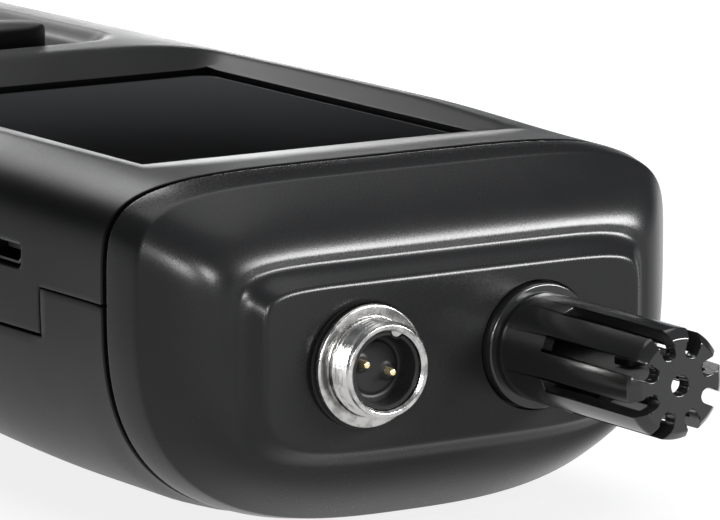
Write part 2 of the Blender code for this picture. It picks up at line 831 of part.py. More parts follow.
def soft_key(side):
    """Outline maker for a key beside the middle line, with its outer end fully rounded."""

    def outline(grow):
        inner = KEY_SPACING / 2 - grow
        outer = KEY_SPACING / 2 + SOFT_KEY_WIDTH + grow
        left, right = (inner, outer) if side > 0 else (-outer, -inner)
        end, corner = SOFT_KEY_END + grow, SOFT_KEY_CORNER + grow
        radii = [end, corner, corner, end] if side > 0 else [corner, end, end, corner]
        half = SOFT_KEY_DEPTH / 2 + grow
        row = soft_key_row()
        return rounded_rectangle(left, right, row - half, row + half, radii)

    return outline


def pad_key(direction):
    """Outline maker for a quarter of the direction ring, facing the angle given in degrees."""

    def outline(grow):
        inner = OK_RADIUS + KEY_SPACING - grow
        outer = PAD_RADIUS + grow
        edge = KEY_SPACING / 2 - grow
        middle = math.radians(direction)
        points = []
        for radius, way in ((outer, 1), (inner, -1)):
            reach = math.pi / 4 - math.asin(edge / radius)
            for step in range(7):
                angle = middle + way * reach * (step / 3 - 1)
                points.append((radius * math.cos(angle), pad_centre() + radius * math.sin(angle)))
        return points

    return outline


def ok_key(grow):
    count = 20
    turns = [2 * math.pi * step / count for step in range(count)]
    radius = OK_RADIUS + grow
    return [(radius * math.cos(turn), pad_centre() + radius * math.sin(turn)) for turn in turns]


def power_key(grow):
    half_wide = POWER_WIDTH / 2 + grow
    half_deep = POWER_DEPTH / 2 + grow
    row = power_row()
    radii = [POWER_DEPTH / 3 + grow] * 4
    return rounded_rectangle(-half_wide, half_wide, row - half_deep, row + half_deep, radii)


KEYS = (
    ("key_soft_left", soft_key(-1)),
    ("key_soft_right", soft_key(1)),
    ("key_up", pad_key(270)),
    ("key_down", pad_key(90)),
    ("key_left", pad_key(180)),
    ("key_right", pad_key(0)),
    ("key_ok", ok_key),
    ("key_power", power_key),
)


def centre_of(outline):
    xs, ys = zip(*outline)
    return (min(xs) + max(xs)) / 2, (min(ys) + max(ys)) / 2


def make_keys():
    """Each key is a cap through the upper shell on a flange that the shell holds down."""
    flange_top = CEILING - SEAT_GAP
    flange_bottom = flange_top - KEY_FLANGE_THICKNESS
    top = KEYPAD_FLOOR + KEY_HEIGHT
    for name, outline in KEYS:
        x, y = centre_of(outline(0))
        shift = [(px - x, py - y) for px, py in outline(0)]
        key = piece(name, prisms(name, [shift], flange_bottom, top), RUBBER, (x, y, 0))
        bevel(key, KEY_ROUNDING)
        base = [(px - x, py - y) for px, py in outline(KEY_FLANGE)]
        flange = prisms(f"{name}_flange", [base], flange_bottom, flange_top)
        boolean(key, cutter(f"{name}_flange", flange, (x, y, 0)), "UNION")


def make_keypad_layers():
    top = mat_top()
    half = KEYPAD_HALF_WIDTH - MAT_MARGIN
    start, end = KEYPAD_START + MAT_MARGIN, KEYPAD_END - MAT_MARGIN
    sheet = rounded_rectangle(-half, half, start, end, [0.003] * 4, 3)
    mat = piece("keypad_mat", prisms("keypad_mat", [sheet], top - MAT_THICKNESS, top), RUBBER)
    places = [centre_of(outline(0)) for _, outline in KEYS]
    domes = cylinders(
        "domes", places, DOME_RADIUS, top - MAT_THICKNESS / 2, top + DOME_HEIGHT, 8, DOME_RADIUS / 2
    )
    boolean(mat, cutter("domes", domes), "UNION")
    board_high = top - MAT_THICKNESS - SEAT_GAP
    board = prisms("keypad_board", [sheet], board_high - BOARD_THICKNESS, board_high)
    piece("keypad_board", board, BOARD_GREEN)


# ---------------------------------------------------------------- boards, battery and leads


def make_main_board():
    half = board_half_width()
    outline = rounded_rectangle(-half, half, BOARD_START, board_end(), [0.002] * 4, 3)
    board = piece(
        "main_board", prisms("main_board", [outline], board_bottom(), board_top()), BOARD_GREEN
    )
    radius = BOARD_SCREW_RADIUS + THREAD_CLEARANCE
    holes = cylinders("board_holes", post_places(), radius, -FAR, FAR, 10)
    boolean(board, cutter("board_holes", holes))
    for number, (x, y) in enumerate(post_places(), 1):
        seat = board_top() + SEAT_GAP
        sizes = (BOARD_SCREW_RADIUS, BOARD_SCREW_HEAD, BOARD_SCREW_LENGTH)
        make_screw(f"board_screw_{number}", (x, y, seat), (math.pi, 0, 0), *sizes)


def make_screw(name, seat, rotation, radius, head, length):
    """A pan-head screw from its seat, with its tip along local +Z."""
    socket = head / 2.5
    bottom = -SCREW_HEAD_HEIGHT
    profile = [
        (0, length),
        (radius, length - 1.5 * radius),
        (radius, 0),
        (head, 0),
        (head, bottom / 2),
        (0.8 * head, bottom),
        (socket, bottom),
        (socket, bottom / 2),
        (0, bottom / 2),
    ]
    turned(name, profile, STEEL, seat, rotation, 10)


def make_case_screws():
    seat = CASE_SCREW_SEAT - SEAT_GAP
    sizes = (CASE_SCREW_RADIUS, CASE_SCREW_HEAD, CASE_SCREW_LENGTH)
    for number, (x, y) in enumerate(boss_places(), 1):
        make_screw(f"case_screw_{number}", (x, y, seat), (0, 0, 0), *sizes)


def make_battery():
    half = BATTERY_WIDTH / 2
    low = (-half, BATTERY_START, battery_bottom())
    high = (half, BATTERY_START + BATTERY_LENGTH, battery_top())
    battery = piece("battery", boxes("battery", (low, high)), CELL_GREY)
    bevel(battery, BATTERY_THICKNESS / 5, 2)


def make_lead(name, start, end, out, down):
    """A wire on a smooth curve that leaves its start along out and arrives along down."""
    count = 10
    reach = math.dist(start, end) / 2
    first = [a + reach * b for a, b in zip(start, out)]
    second = [a - reach * b for a, b in zip(end, down)]
    curve = bpy.data.curves.new(name, "CURVE")
    curve.dimensions = "3D"
    curve.bevel_depth = LEAD_RADIUS
    curve.bevel_resolution = 2
    curve.use_fill_caps = True
    spline = curve.splines.new("POLY")
    spline.points.add(count)
    for step, point in enumerate(spline.points):
        t = step / count
        weights = ((1 - t) ** 3, 3 * t * (1 - t) ** 2, 3 * t * t * (1 - t), t**3)
        corners = zip(start, first, second, end)
        point.co = (*(sum(w * c for w, c in zip(weights, axis)) for axis in corners), 1)
    piece(name, curve, WIRE_RED)


def make_leads():
    room = SEAT_GAP + LEAD_RADIUS
    board_front = BOARD_START + 2 * room
    over = board_top() + SEAT_GAP
    back = -PLATFORM_REACH
    down, rear = (0, 0, -1), (0, 1, 0)
    socket_back = (SOCKET_X, back + SOCKET_TAIL + 2 * room, SOCKET_Z)
    make_lead("connector_lead", socket_back, (SOCKET_X, board_front, over), rear, down)
    sensor_back = (SENSOR_X, back + NECK_TAIL + 2 * room, SENSOR_Z)
    make_lead("sensor_lead", sensor_back, (SENSOR_X, board_front, over), rear, down)
    cell = (0, BATTERY_START + 2 * room, battery_top() + SEAT_GAP)
    under = (0, BATTERY_START - 4 * room, board_bottom() - SEAT_GAP)
    make_lead("battery_lead", cell, under, (0, 0, 1), (0, 0, 1))


# ---------------------------------------------------------------- USB port


def make_usb_port():
    half, high = USB_WIDTH / 2, USB_HEIGHT / 2

    def mouth(shrink):
        side, top = half - shrink, high - shrink
        foot, step = 0.75 * half - shrink, -0.2 * high
        return [(side, top), (-side, top), (-side, step), (-foot, -top), (foot, -top), (side, step)]

    front = -half_width_at(USB_PLACE) + USB_SETBACK
    place = (front, USB_PLACE, usb_height())
    socket = piece("usb_socket", prisms("usb_socket", [mouth(0)], 0, USB_DEPTH), STEEL, place, SIDEWAYS)
    room = prisms("usb_room", [mouth(USB_WALL)], -FAR, USB_DEPTH - 2 * USB_WALL)
    boolean(socket, cutter("usb_room", room, place, SIDEWAYS))
    back = USB_DEPTH - 2 * USB_WALL - SEAT_GAP
    wide, thick = half / 2, high / 5
    low = (-wide, high / 4 - thick, back - TONGUE_LENGTH)
    tongue = boxes("usb_tongue", (low, (wide, high / 4 + thick, back)))
    piece("usb_tongue", tongue, BODY_BLACK, place, SIDEWAYS)


# ---------------------------------------------------------------- probe socket


def make_probe_socket():
    place = (SOCKET_X, -PLATFORM_REACH, SOCKET_Z)
    hole = SOCKET_THREAD + THREAD_CLEARANCE
    washer_top = SEAT_GAP + WASHER_THICKNESS
    washer_edge = SOCKET_FLANGE + SEAT_GAP
    washer = [(washer_edge, washer_top), (washer_edge, SEAT_GAP), (hole, SEAT_GAP), (hole, washer_top)]
    turned("connector_washer", washer, RUBBER, place)
    flange_low = washer_top + SEAT_GAP
    flange_high = flange_low + SOCKET_FLANGE_THICKNESS
    rim = SOCKET_REACH
    edge = SOCKET_THREAD / 12
    profile = [
        (SOCKET_THREAD - edge, rim),
        (SOCKET_THREAD, rim - edge),
        (SOCKET_THREAD, flange_high),
        (SOCKET_FLANGE - edge / 2, flange_high),
        (SOCKET_FLANGE, flange_high - edge / 2),
        (SOCKET_FLANGE, flange_low),
        (SOCKET_THREAD, flange_low),
        (SOCKET_THREAD, -SOCKET_TAIL),
        (SOCKET_BORE, -SOCKET_TAIL),
        (SOCKET_BORE, rim - edge / 2),
        (SOCKET_BORE + edge / 2, rim),
    ]
    shell = turned("connector_shell", profile, NICKEL, place, steps=32)
    ridge_reach = SOCKET_BORE + KEY_RIDGE / 4
    ridge_turn = SOCKET_TURN + math.pi / 2
    ridge_place = [(ridge_reach * math.cos(ridge_turn), ridge_reach * math.sin(ridge_turn))]
    ridge = cylinders("key_ridge", ridge_place, KEY_RIDGE, -SOCKET_TAIL / 2, rim - edge, 12)
    boolean(shell, cutter("key_ridge", ridge, place, FORWARD), "UNION")

    side = SOCKET_BORE - SEAT_GAP
    back = -SOCKET_TAIL - SEAT_GAP
    disc = [(0, INSERT_FACE), (side, INSERT_FACE), (side, back), (0, back)]
    insert = turned("connector_insert", disc, BODY_BLACK, place)
    notch = cylinders("insert_notch", ridge_place, KEY_RIDGE + SEAT_GAP, -FAR, FAR, 12)
    boolean(insert, cutter("insert_notch", notch, place, FORWARD))
    across = PIN_SPACING / 2 * math.cos(SOCKET_TURN)
    up = PIN_SPACING / 2 * math.sin(SOCKET_TURN)
    pins = [(-across, -up), (across, up)]
    bores = cylinders("pin_bores", pins, PIN_RADIUS + SEAT_GAP, -FAR, FAR, 12)
    boolean(insert, cutter("pin_bores", bores, place, FORWARD))
    tip = PIN_REACH
    pin = [(0, tip), (0.6 * PIN_RADIUS, tip), (PIN_RADIUS, tip - PIN_RADIUS), (PIN_RADIUS, back), (0, back)]
    for name, (x, z) in zip(("connector_pin_left", "connector_pin_right"), pins):
        turned(name, pin, GOLD, (SOCKET_X + x, -PLATFORM_REACH, SOCKET_Z + z), steps=12)
    make_nut("connector_nut", place, hole)


def make_nut(name, place, hole):
    """A hexagon nut behind the platform, with flats above and below."""
    low = -PLATFORM_WALL - SEAT_GAP - NUT_THICKNESS
    corner = (hole + NUT_WALL) / math.cos(math.pi / 6)
    turns = [math.pi / 3 * step for step in range(6)]
    outline = [(corner * math.cos(turn), corner * math.sin(turn)) for turn in turns]
    nut = piece(name, prisms(name, [outline], low, low + NUT_THICKNESS), STEEL, place, FORWARD)
    bore = cylinders(f"{name}_bore", [(0, 0)], hole, -FAR, FAR)
    boolean(nut, cutter(f"{name}_bore", bore, place, FORWARD))


# ---------------------------------------------------------------- air sensor


def make_sensor():
    place = (SENSOR_X, -PLATFORM_REACH, SENSOR_Z)
    seat = -COUNTERBORE_DEPTH + SEAT_GAP
    bore = CAGE_RADIUS - CAGE_WALL
    spigot = bore - SEAT_GAP
    spigot_end = COLLAR_REACH + CAGE_WALL * 2
    collar = [
        (spigot, spigot_end),
        (spigot, COLLAR_REACH),
        (COLLAR_RADIUS, COLLAR_REACH),
        (COLLAR_RADIUS, seat),
        (NECK_RADIUS, seat),
        (NECK_RADIUS, -NECK_TAIL),
        (NECK_BORE, -NECK_TAIL),
        (NECK_BORE, spigot_end),
    ]
    turned("sensor_collar", collar, BODY_BLACK, place)
    make_nut("sensor_nut", place, NECK_RADIUS + THREAD_CLEARANCE)
    make_cage(place, bore)
    half, thick = SENSOR_BOARD_WIDTH / 2, SENSOR_BOARD_THICKNESS / 2
    board = boxes("sensor_board", ((-half, -thick, -NECK_TAIL), (half, thick, SENSOR_BOARD_REACH)))
    piece("sensor_board", board, BOARD_GREEN, place, FORWARD)
    chip_half = half / 2
    base = thick + SEAT_GAP
    low = (-chip_half, base, SENSOR_BOARD_REACH - 3 * chip_half)
    high = (chip_half, base + 2 * thick, SENSOR_BOARD_REACH - chip_half)
    chip = piece("sensor_chip", boxes("sensor_chip", (low, high)), STEEL, place, FORWARD)
    bevel(chip, thick / 4)


def make_cage(place, bore):
    """A closed-ended tube with slots that run down its side and in across its tip."""
    foot = COLLAR_REACH + SEAT_GAP
    cage_profile = [
        (CAGE_HOLE, CAGE_REACH),
        (CAGE_RADIUS - CAGE_CHAMFER, CAGE_REACH),
        (CAGE_RADIUS, CAGE_REACH - CAGE_CHAMFER),
        (CAGE_RADIUS, foot),
        (bore, foot),
        (bore, CAGE_REACH - CAGE_TIP),
        (CAGE_HOLE, CAGE_REACH - CAGE_TIP),
    ]
    cage = turned("sensor_cage", cage_profile, BODY_BLACK, place, steps=40)
    outlines = []
    half = SLOT_WIDTH / 2
    for number in range(SLOT_COUNT):
        turn = 2 * math.pi * (number + 0.5) / SLOT_COUNT
        ahead, aside = (math.cos(turn), math.sin(turn)), (-math.sin(turn), math.cos(turn))
        outline = []
        for step in range(7):
            angle = math.pi * (0.5 + step / 6)
            along, across = SLOT_INNER + half * math.cos(angle), half * math.sin(angle)
            outline.append([along * a + across * b for a, b in zip(ahead, aside)])
        for across in (-half, half):
            outline.append([2 * CAGE_RADIUS * a + across * b for a, b in zip(ahead, aside)])
        outlines.append(outline)
    slots = prisms("cage_slots", outlines, CAGE_REACH - SLOT_LENGTH, FAR)
    boolean(cage, cutter("cage_slots", slots, place, FORWARD))


def main():
    clear_scene()
    frame = bpy.data.objects.new("meter_frame", None)
    frame.location = (0, (PLATFORM_REACH + CAGE_REACH - BODY_LENGTH) / 2, REST_DEPTH)
    collection("weather_meter").objects.link(frame)
    cavity = make_cavity()
    make_lower_shell(cavity)
    make_upper_shell(cavity)
    make_end_cap()
    make_seal()
    make_display()
    make_keys()
    make_keypad_layers()
    make_main_board()
    make_case_screws()
    make_battery()
    make_leads()
    make_usb_port()
    make_probe_socket()
    make_sensor()


main()
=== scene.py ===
"""Looks of a handheld weather meter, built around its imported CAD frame.

Laid out as an add-on. The property groups hold sizes and colours, an operator makes each piece or
group of like pieces, and the panel lists the operators. In the meter's own axes Y = 0 is the groove
between body and end cap, Z = 0 is the widest line of the body, and -Y points out of the sensor end.
"""

import math
from functools import partial

import bmesh
import bpy
import numpy as np
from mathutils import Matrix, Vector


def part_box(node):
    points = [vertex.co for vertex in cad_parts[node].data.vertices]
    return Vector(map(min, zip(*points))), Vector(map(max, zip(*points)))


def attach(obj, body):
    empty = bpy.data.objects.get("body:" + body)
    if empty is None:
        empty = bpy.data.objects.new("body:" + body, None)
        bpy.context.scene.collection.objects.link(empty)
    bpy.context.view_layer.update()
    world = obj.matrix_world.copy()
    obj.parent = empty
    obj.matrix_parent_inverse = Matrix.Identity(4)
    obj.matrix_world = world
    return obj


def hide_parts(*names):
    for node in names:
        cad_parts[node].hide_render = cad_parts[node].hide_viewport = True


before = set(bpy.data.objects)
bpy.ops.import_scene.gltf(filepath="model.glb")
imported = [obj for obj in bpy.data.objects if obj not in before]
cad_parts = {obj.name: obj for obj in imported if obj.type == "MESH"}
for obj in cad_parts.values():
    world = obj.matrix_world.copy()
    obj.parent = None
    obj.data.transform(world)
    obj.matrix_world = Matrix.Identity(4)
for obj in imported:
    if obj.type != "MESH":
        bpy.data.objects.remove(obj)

bl_info = {
    "name": "Weather Meter Looks",
    "version": (1, 0, 0),
    "blender": (4, 5, 0),
    "location": "View3D > Sidebar > Meter",
    "description": "Finished surfaces, materials and studio for a handheld weather meter",
    "category": "Add Mesh",
}

FRONT_SLOTS = ("cap_black", "nickel", "insert_black", "contact_gold")
SPIGOT_LENGTH = 0.0035
SPIGOT_ROOM = 0.0039
SEAL_REBATE = 0.00246
WINDOW_TOP = 0.0130
SCREW_SIDE_ROOM = 0.0172
FRONT_SCREWS = 0.0085
REAR_SCREW_ROOM = 0.020
SCREW_RADIUS = 0.00175
SCREW_HEAD_RADIUS = 0.0031
SCREW_HEAD_SEAT = -0.0140
BOSS_RADIUS = 0.0046
BOSS_TOP = -0.00045
BELOW_CASE = -0.05
WASHER_FACES = (0.0003, 0.00065)
FLANGE_FACE = 0.00095
FLANGE_THICKNESS = 0.0008
DRILL_DEPTH = 0.012
PORT_ROOM = 0.00075
PORT_MOUTH = (-0.06, -0.034)
WINDOW_EDGE = 0.00008
WINDOW_CORNER = 0.0008
TRAY_LIP = 0.00015
KEY_DOME = 0.00035
HOLE_DEPTH = 0.006
FIT = 0.0003
CREASE = math.radians(35)
THREAD_CREASE = math.radians(32)
GLOSS = "Specular IOR Level"
ORIGIN = np.array(
    (0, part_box("end_cap")[1].y - SPIGOT_LENGTH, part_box("display_window")[1].z - WINDOW_TOP)
)
WINDOW_LOW = np.array(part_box("display_window")[0]) - ORIGIN
WINDOW_HIGH = np.array(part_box("display_window")[1]) - ORIGIN
TAIL_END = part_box("upper_shell")[1].y - ORIGIN[1]
PLATFORM_FACE = ORIGIN[1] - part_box("end_cap")[0].y
REST_DEPTH = ORIGIN[2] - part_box("lower_shell")[0].z


def length(name, description, default):
    return bpy.props.FloatProperty(
        name=name, description=description, default=default, unit="LENGTH", precision=5
    )


def ratio(name, description, default):
    return bpy.props.FloatProperty(name=name, description=description, default=default)


def angle(name, description, default):
    return bpy.props.FloatProperty(
        name=name, description=description, default=math.radians(default), subtype="ANGLE"
    )


def colour(name, description, default):
    return bpy.props.FloatVectorProperty(
        name=name, description=description, default=default, subtype="COLOR", min=0, max=1
    )


# ---------------------------------------------------------------- sizes and colours


class BodySizes(bpy.types.PropertyGroup):
    half_width: length("Half width", "From the middle to the side at the groove", 0.0392)
    crown: length("Crown", "Height of the top over the widest line", 0.0148)
    belly: length("Belly", "Depth of the underside below the widest line", 0.0294)
    crown_power: ratio("Crown power", "Squareness of the top half", 4.9)
    belly_power: ratio("Belly power", "Squareness of the bottom half", 2.82)
    swell: length("Swell", "How far the sides stand out behind the groove", 0.0008)
    rise: length("Rise", "How far the top rises behind the groove", 0.0009)
    swell_place: length("Swell place", "Where the body is fullest", 0.040)
    tail_radius: length("Tail radius", "Rounding of the far end", 0.012)
    tail_taper: length("Tail taper", "How far the sides draw in to the far end", 0.0016)
    arch: length("Arch", "Rise of the underside between its two feet", 0.0028)
    bulge: length("Bulge", "Depth of the feet below the groove's edge", 0.0009)
    wall: length("Wall", "Wall thickness of the shells", 0.0024)
    ceiling: length("Ceiling", "Height of the upper shell's level inside", 0.0102)
    groove_half: length("Groove half", "Half the gap between body and end cap", 0.00050)
    edge: length("Edge rounding", "Rounding of the shells' edges", 0.00022)
    parting: length("Parting gap", "Gap between the two shells", 0.00010)
    tongue_low: length("Tongue end", "How far the upper shell's tongue drops", 0.0060)
    tongue_half: length("Tongue half", "Half the width of that tongue", 0.00875)
    port_place: length("Port place", "Distance of the USB port behind the groove", 0.024)


class TopSizes(bpy.types.PropertyGroup):
    tray_floor: length("Tray floor", "Height of the display tray at the window", 0.0135)
    near_slope: ratio("Near slope", "Rise of the tray towards the end cap", 0.14)
    side_slope: ratio("Side slope", "Rise of the tray towards the sides", 0.25)
    far_slope: ratio("Far slope", "Rise of the tray towards the keypad", 0.176)
    gap: length("Window gap", "Gap round the window", 0.0003)
    pocket: length("Pocket floor", "Height of the ledge under the window", 0.0114)
    ledge: length("Ledge", "Width of the ledge under the window", 0.0025)
    crest: length("Crest", "From the window to the keypad tray", 0.0216)
    keypad_floor: length("Keypad floor", "Height of the keypad's field", 0.0134)
    keypad_half: length("Keypad half", "Half the width of the keypad's field", 0.0215)
    keypad_length: length("Keypad length", "Length of the keypad's field", 0.057)
    keypad_corner: length("Keypad corner", "Corner radius of the keypad's field", 0.008)
    keypad_wall: ratio("Keypad wall", "Steepness of the keypad tray's walls", 0.72)


class CapSizes(bpy.types.PropertyGroup):
    rim: length("Rim", "Length of the band next to the groove", 0.0062)
    rim_inset: length("Rim inset", "How far the band draws in", 0.0007)
    pillow: length("Pillow", "How far the face bulges from the band", 0.0083)
    platform_half: length("Platform half", "Half the platform's width", 0.02675)
    platform_height: length("Platform height", "Half the platform's height", 0.01005)
    platform_middle: length("Platform middle", "Height of the platform's middle", -0.0075)
    top_power: ratio("Top power", "Squareness of the platform's top corners", 9.0)
    base_power: ratio("Base power", "Squareness of its bottom corners", 4.5)
    slope: length("Slope", "How far the platform's walls lean out", 0.0022)
    fillet: length("Fillet", "Rounding where the platform meets the face", 0.0019)
    edge: length("Edge", "Rounding round the platform's face", 0.0006)
    wall: length("Wall", "Wall thickness of the cap", 0.0024)
    face_wall: length("Face wall", "Thickness of the platform's face", 0.0032)
    side_wall: length("Side wall", "Thickness of the platform's sides", 0.0016)


class SocketSizes(bpy.types.PropertyGroup):
    x: length("Across", "Place of the socket across the cap", -0.0133)
    z: length("Height", "Height of the socket", -0.0071)
    thread: length("Thread radius", "Outside radius of the thread", 0.0060)
    pitch: length("Pitch", "Rise of the thread for one turn", 0.00075)
    depth: length("Thread depth", "Depth of the thread", 0.00042)
    bore: length("Bore", "Inside radius", 0.00483)
    flange: length("Flange", "Radius of the flange", 0.0075)
    reach: length("Reach", "How far the socket stands out", 0.0055)
    tail: length("Tail", "How far the socket reaches in", 0.0085)
    ridge: length("Key ridge", "Radius of the key inside the bore", 0.0008)
    face: length("Insert face", "Height of the insert's face", 0.0022)
    pin: length("Pin radius", "Radius of a contact pin", 0.0005)
    pin_spacing: length("Pin spacing", "Distance between the pins", 0.0039)
    pin_reach: length("Pin reach", "Height of the pins' tips", 0.0037)
    turn: angle("Turn", "How far the key and the pins are turned", -19)


class SensorSizes(bpy.types.PropertyGroup):
    x: length("Across", "Place of the sensor across the cap", 0.0118)
    z: length("Height", "Height of the sensor", -0.0074)
    collar: length("Collar", "Radius of the collar", 0.00775)
    collar_reach: length("Collar reach", "How far the collar stands out", 0.0013)
    sink: length("Counterbore", "Depth of the counterbore", 0.0015)
    sink_margin: length("Margin", "Gap between collar and counterbore", 0.0003)
    neck: length("Neck", "Radius of the threaded neck", 0.0056)
    neck_tail: length("Neck tail", "How far the neck reaches in", 0.0065)
    neck_bore: length("Neck bore", "Inside radius of the neck", 0.0034)
    cage: length("Cage", "Radius of the cage", 0.00675)
    reach: length("Cage reach", "How far the cage stands out", 0.0300)
    wall: length("Cage wall", "Wall thickness of the cage", 0.0015)
    tip: length("Tip", "Thickness of the cage's end", 0.0020)
    chamfer: length("Chamfer", "Chamfer round the cage's end", 0.0011)
    hole: length("Hole", "Radius of the hole in the end", 0.00125)
    slots: bpy.props.IntProperty(name="Slots", description="Slots in the cage", default=8)
    slot_width: length("Slot width", "Width of a slot", 0.0019)
    slot_length: length("Slot length", "Length of a slot", 0.0195)
    slot_inner: length("Slot inner", "Where a slot ends in the tip", 0.0044)


class KeySizes(bpy.types.PropertyGroup):
    height: length("Height", "How far a key stands over the keypad's floor", 0.0041)
    gap: length("Gap", "Gap round a key", 0.0003)
    flange: length("Flange", "Width of the flange that holds a key in", 0.0007)
    flange_thickness: length("Flange thickness", "Thickness of that flange", 0.0008)
    rounding: length("Rounding", "Rounding of a key's top edge", 0.0008)
    spacing: length("Spacing", "Distance between keys side by side", 0.0020)
    row: length("Row spacing", "Distance between rows of keys", 0.0035)
    soft_width: length("Soft key width", "Width of the two keys in the first row", 0.0140)
    soft_depth: length("Soft key depth", "Depth of those keys", 0.0090)
    soft_end: length("Soft key end", "Radius of their outer corners", 0.0043)
    soft_corner: length("Soft key corner", "Radius of their inner corners", 0.0012)
    pad: length("Pad radius", "Radius of the direction ring", 0.0135)
    middle: length("Middle key", "Radius of the middle key", 0.0046)
    power_width: length("Power key width", "Width of the power key", 0.0130)
    power_depth: length("Power key depth", "Depth of the power key", 0.0070)


class Finishes(bpy.types.PropertyGroup):
    case: colour("Case", "Moulded case", (0.0065, 0.0066, 0.0069))
    cap: colour("Cap", "Moulded end cap", (0.0055, 0.0056, 0.0059))
    cage: colour("Cage", "Glossy sensor cage", (0.0065, 0.0066, 0.0068))
    glass: colour("Window", "Black window", (0.0018, 0.0018, 0.0020))
    rubber: colour("Rubber", "Keys and seals", (0.0095, 0.0095, 0.0100))
    nickel: colour("Nickel", "Plated socket", (0.50, 0.495, 0.485))
    steel: colour("Steel", "Screws and nuts", (0.52, 0.52, 0.53))
    gold: colour("Contact", "Contact pins", (0.52, 0.49, 0.43))
    board: colour("Board", "Circuit boards", (0.012, 0.10, 0.045))
    ceramic: colour("Ceramic", "Sensor carrier", (0.30, 0.30, 0.29))
    cell: colour("Cell", "Battery wrap", (0.30, 0.32, 0.36))
    ribbon: colour("Ribbon", "Display cable", (0.50, 0.25, 0.06))
    wire: colour("Wire", "Leads", (0.40, 0.02, 0.02))


class StudioSettings(bpy.types.PropertyGroup):
    lens: bpy.props.FloatProperty(
        name="Lens", description="Focal length in millimetres", default=304.6
    )
    camera: bpy.props.FloatVectorProperty(
        name="Camera",
        description="Place of the camera",
        default=(-0.4000, -0.68775, 0.1653),
        subtype="TRANSLATION",
    )
    azimuth: angle("Azimuth", "Heading of the camera from +Y towards +X", 32.66)
    pitch: angle("Pitch", "How far the camera looks down", 10.27)
    roll: angle("Roll", "Tilt of the camera", 0.04)
    floor: colour("Floor", "Floor", (0.35, 0.35, 0.35))
    floor_size: length("Floor size", "Half the side of the floor", 12.0)
    sky: colour("Sky", "Light from all round", (0.92, 0.95, 1.0))


# ---------------------------------------------------------------- surfaces


def eased(stations, places):
    """A place between two stations takes first + (last - first) * s^2 * (3 - 2 s), where s is its
    share of the way from the one to the other."""
    at = np.array([place for place, _ in stations])
    values = np.array([value for _, value in stations])
    index = np.clip(np.searchsorted(at, places, side="right") - 1, 0, len(at) - 2)
    share = np.clip((places - at[index]) / (at[index + 1] - at[index]), 0, 1)
    return values[index] + (values[index + 1] - values[index]) * share**2 * (3 - 2 * share)


def span(*parts):
    """Rising places: each (start, end, step) is divided evenly, in steps of about that length."""
    places = [
        np.linspace(start, end, max(round((end - start) / step), 1), endpoint=False)
        for start, end, step in parts
    ]
    return np.concatenate([*places, [parts[-1][1]]])


def rounded(rows, cuts, steps=4, closed=False):
    """Corner P of a chain becomes (1 - t)^2 A + 2 t (1 - t) P + t^2 B for t from 0 to 1. A and B
    lie on its two sides at the corner's cut from P, or at 0.48 of a shorter side."""
    rows = np.asarray(rows, float)
    cuts = np.broadcast_to(cuts, len(rows))
    t = np.linspace(0, 1, steps + 1).reshape((-1,) + (1,) * (rows.ndim - 1))
    made = []
    for index, (corner, cut) in enumerate(zip(rows, cuts)):
        if cut == 0 or (not closed and index in (0, len(rows) - 1)):
            made.append(corner[None])
            continue
        ends = []
        for side in (rows[index - 1] - corner, rows[(index + 1) % len(rows)] - corner):
            long = np.maximum(np.linalg.norm(side, axis=-1, keepdims=True), 1e-9)
            ends.append(corner + side * np.minimum(cut / long, 0.48))
        made.append((1 - t) ** 2 * ends[0] + 2 * t * (1 - t) * corner + t * t * ends[1])
    return np.concatenate(made)


def quads_of(index, wrap_rows=False, wrap_columns=False):
    """Four-sided faces of a grid of point numbers, joined end to end where it wraps."""
    if wrap_rows:
        index = np.vstack([index, index[:1]])
    if wrap_columns:
        index = np.hstack([index, index[:, :1]])
    corners = (index[:-1, :-1], index[:-1, 1:], index[1:, 1:], index[1:, :-1])
    return np.stack(corners, -1)


def numbered(points):
    """Point numbers of a grid of points."""
    return np.arange(points.shape[0] * points.shape[1]).reshape(points.shape[:2])


def smooth(mesh, crease=CREASE):
    """Smooth shading, with the edges that turn by more than the crease left sharp."""
    mesh.shade_smooth()
    mesh.set_sharp_from_angle(angle=crease)


def placed(name, data):
    """An object in the scene for a mesh, a light or a camera."""
    made = bpy.data.objects.new(name, data)
    bpy.context.scene.collection.objects.link(made)
    return made


def solid(name, points, quads, crease=CREASE):
    """A closed mesh object. Points that coincide are made one, which closes poles and seams."""
    used, faces = np.unique(quads.reshape(-1, 4), return_inverse=True)
    corners = points.reshape(-1, 3)[used] + ORIGIN
    mesh = bpy.data.meshes.new(name)
    mesh.from_pydata(corners.tolist(), [], faces.reshape(-1, 4).tolist())
    shape = bmesh.new()
    shape.from_mesh(mesh)
    bmesh.ops.remove_doubles(shape, verts=shape.verts, dist=2e-6)
    bmesh.ops.dissolve_degenerate(shape, edges=shape.edges, dist=1e-6)
    bmesh.ops.recalc_face_normals(shape, faces=shape.faces)
    shape.to_mesh(mesh)
    shape.free()
    smooth(mesh, crease)
    return placed(name, mesh)


def skin(name, points, wrap_rows=False, crease=CREASE):
    """A closed solid on one grid of points, whose rows are loops."""
    return solid(name, points, quads_of(numbered(points), wrap_rows, True), crease)


def level_loop(outline, height):
    """The points (x, y, height) of a flat outline."""
    return np.column_stack([outline, np.full(len(outline), height)])


def carried(name, outline, low, high, axis=2):
    """An outline carried straight along an axis from low to high, closed at both ends at its
    middle."""
    outline = np.asarray(outline, float)
    middle = outline.mean(0)
    flat = middle + (outline - middle) * np.array([0, 1, 1, 0])[:, None, None]
    levels = np.broadcast_to(np.array([low, low, high, high])[:, None], flat.shape[:2])
    return skin(name, np.insert(flat, axis, levels, axis=-1))


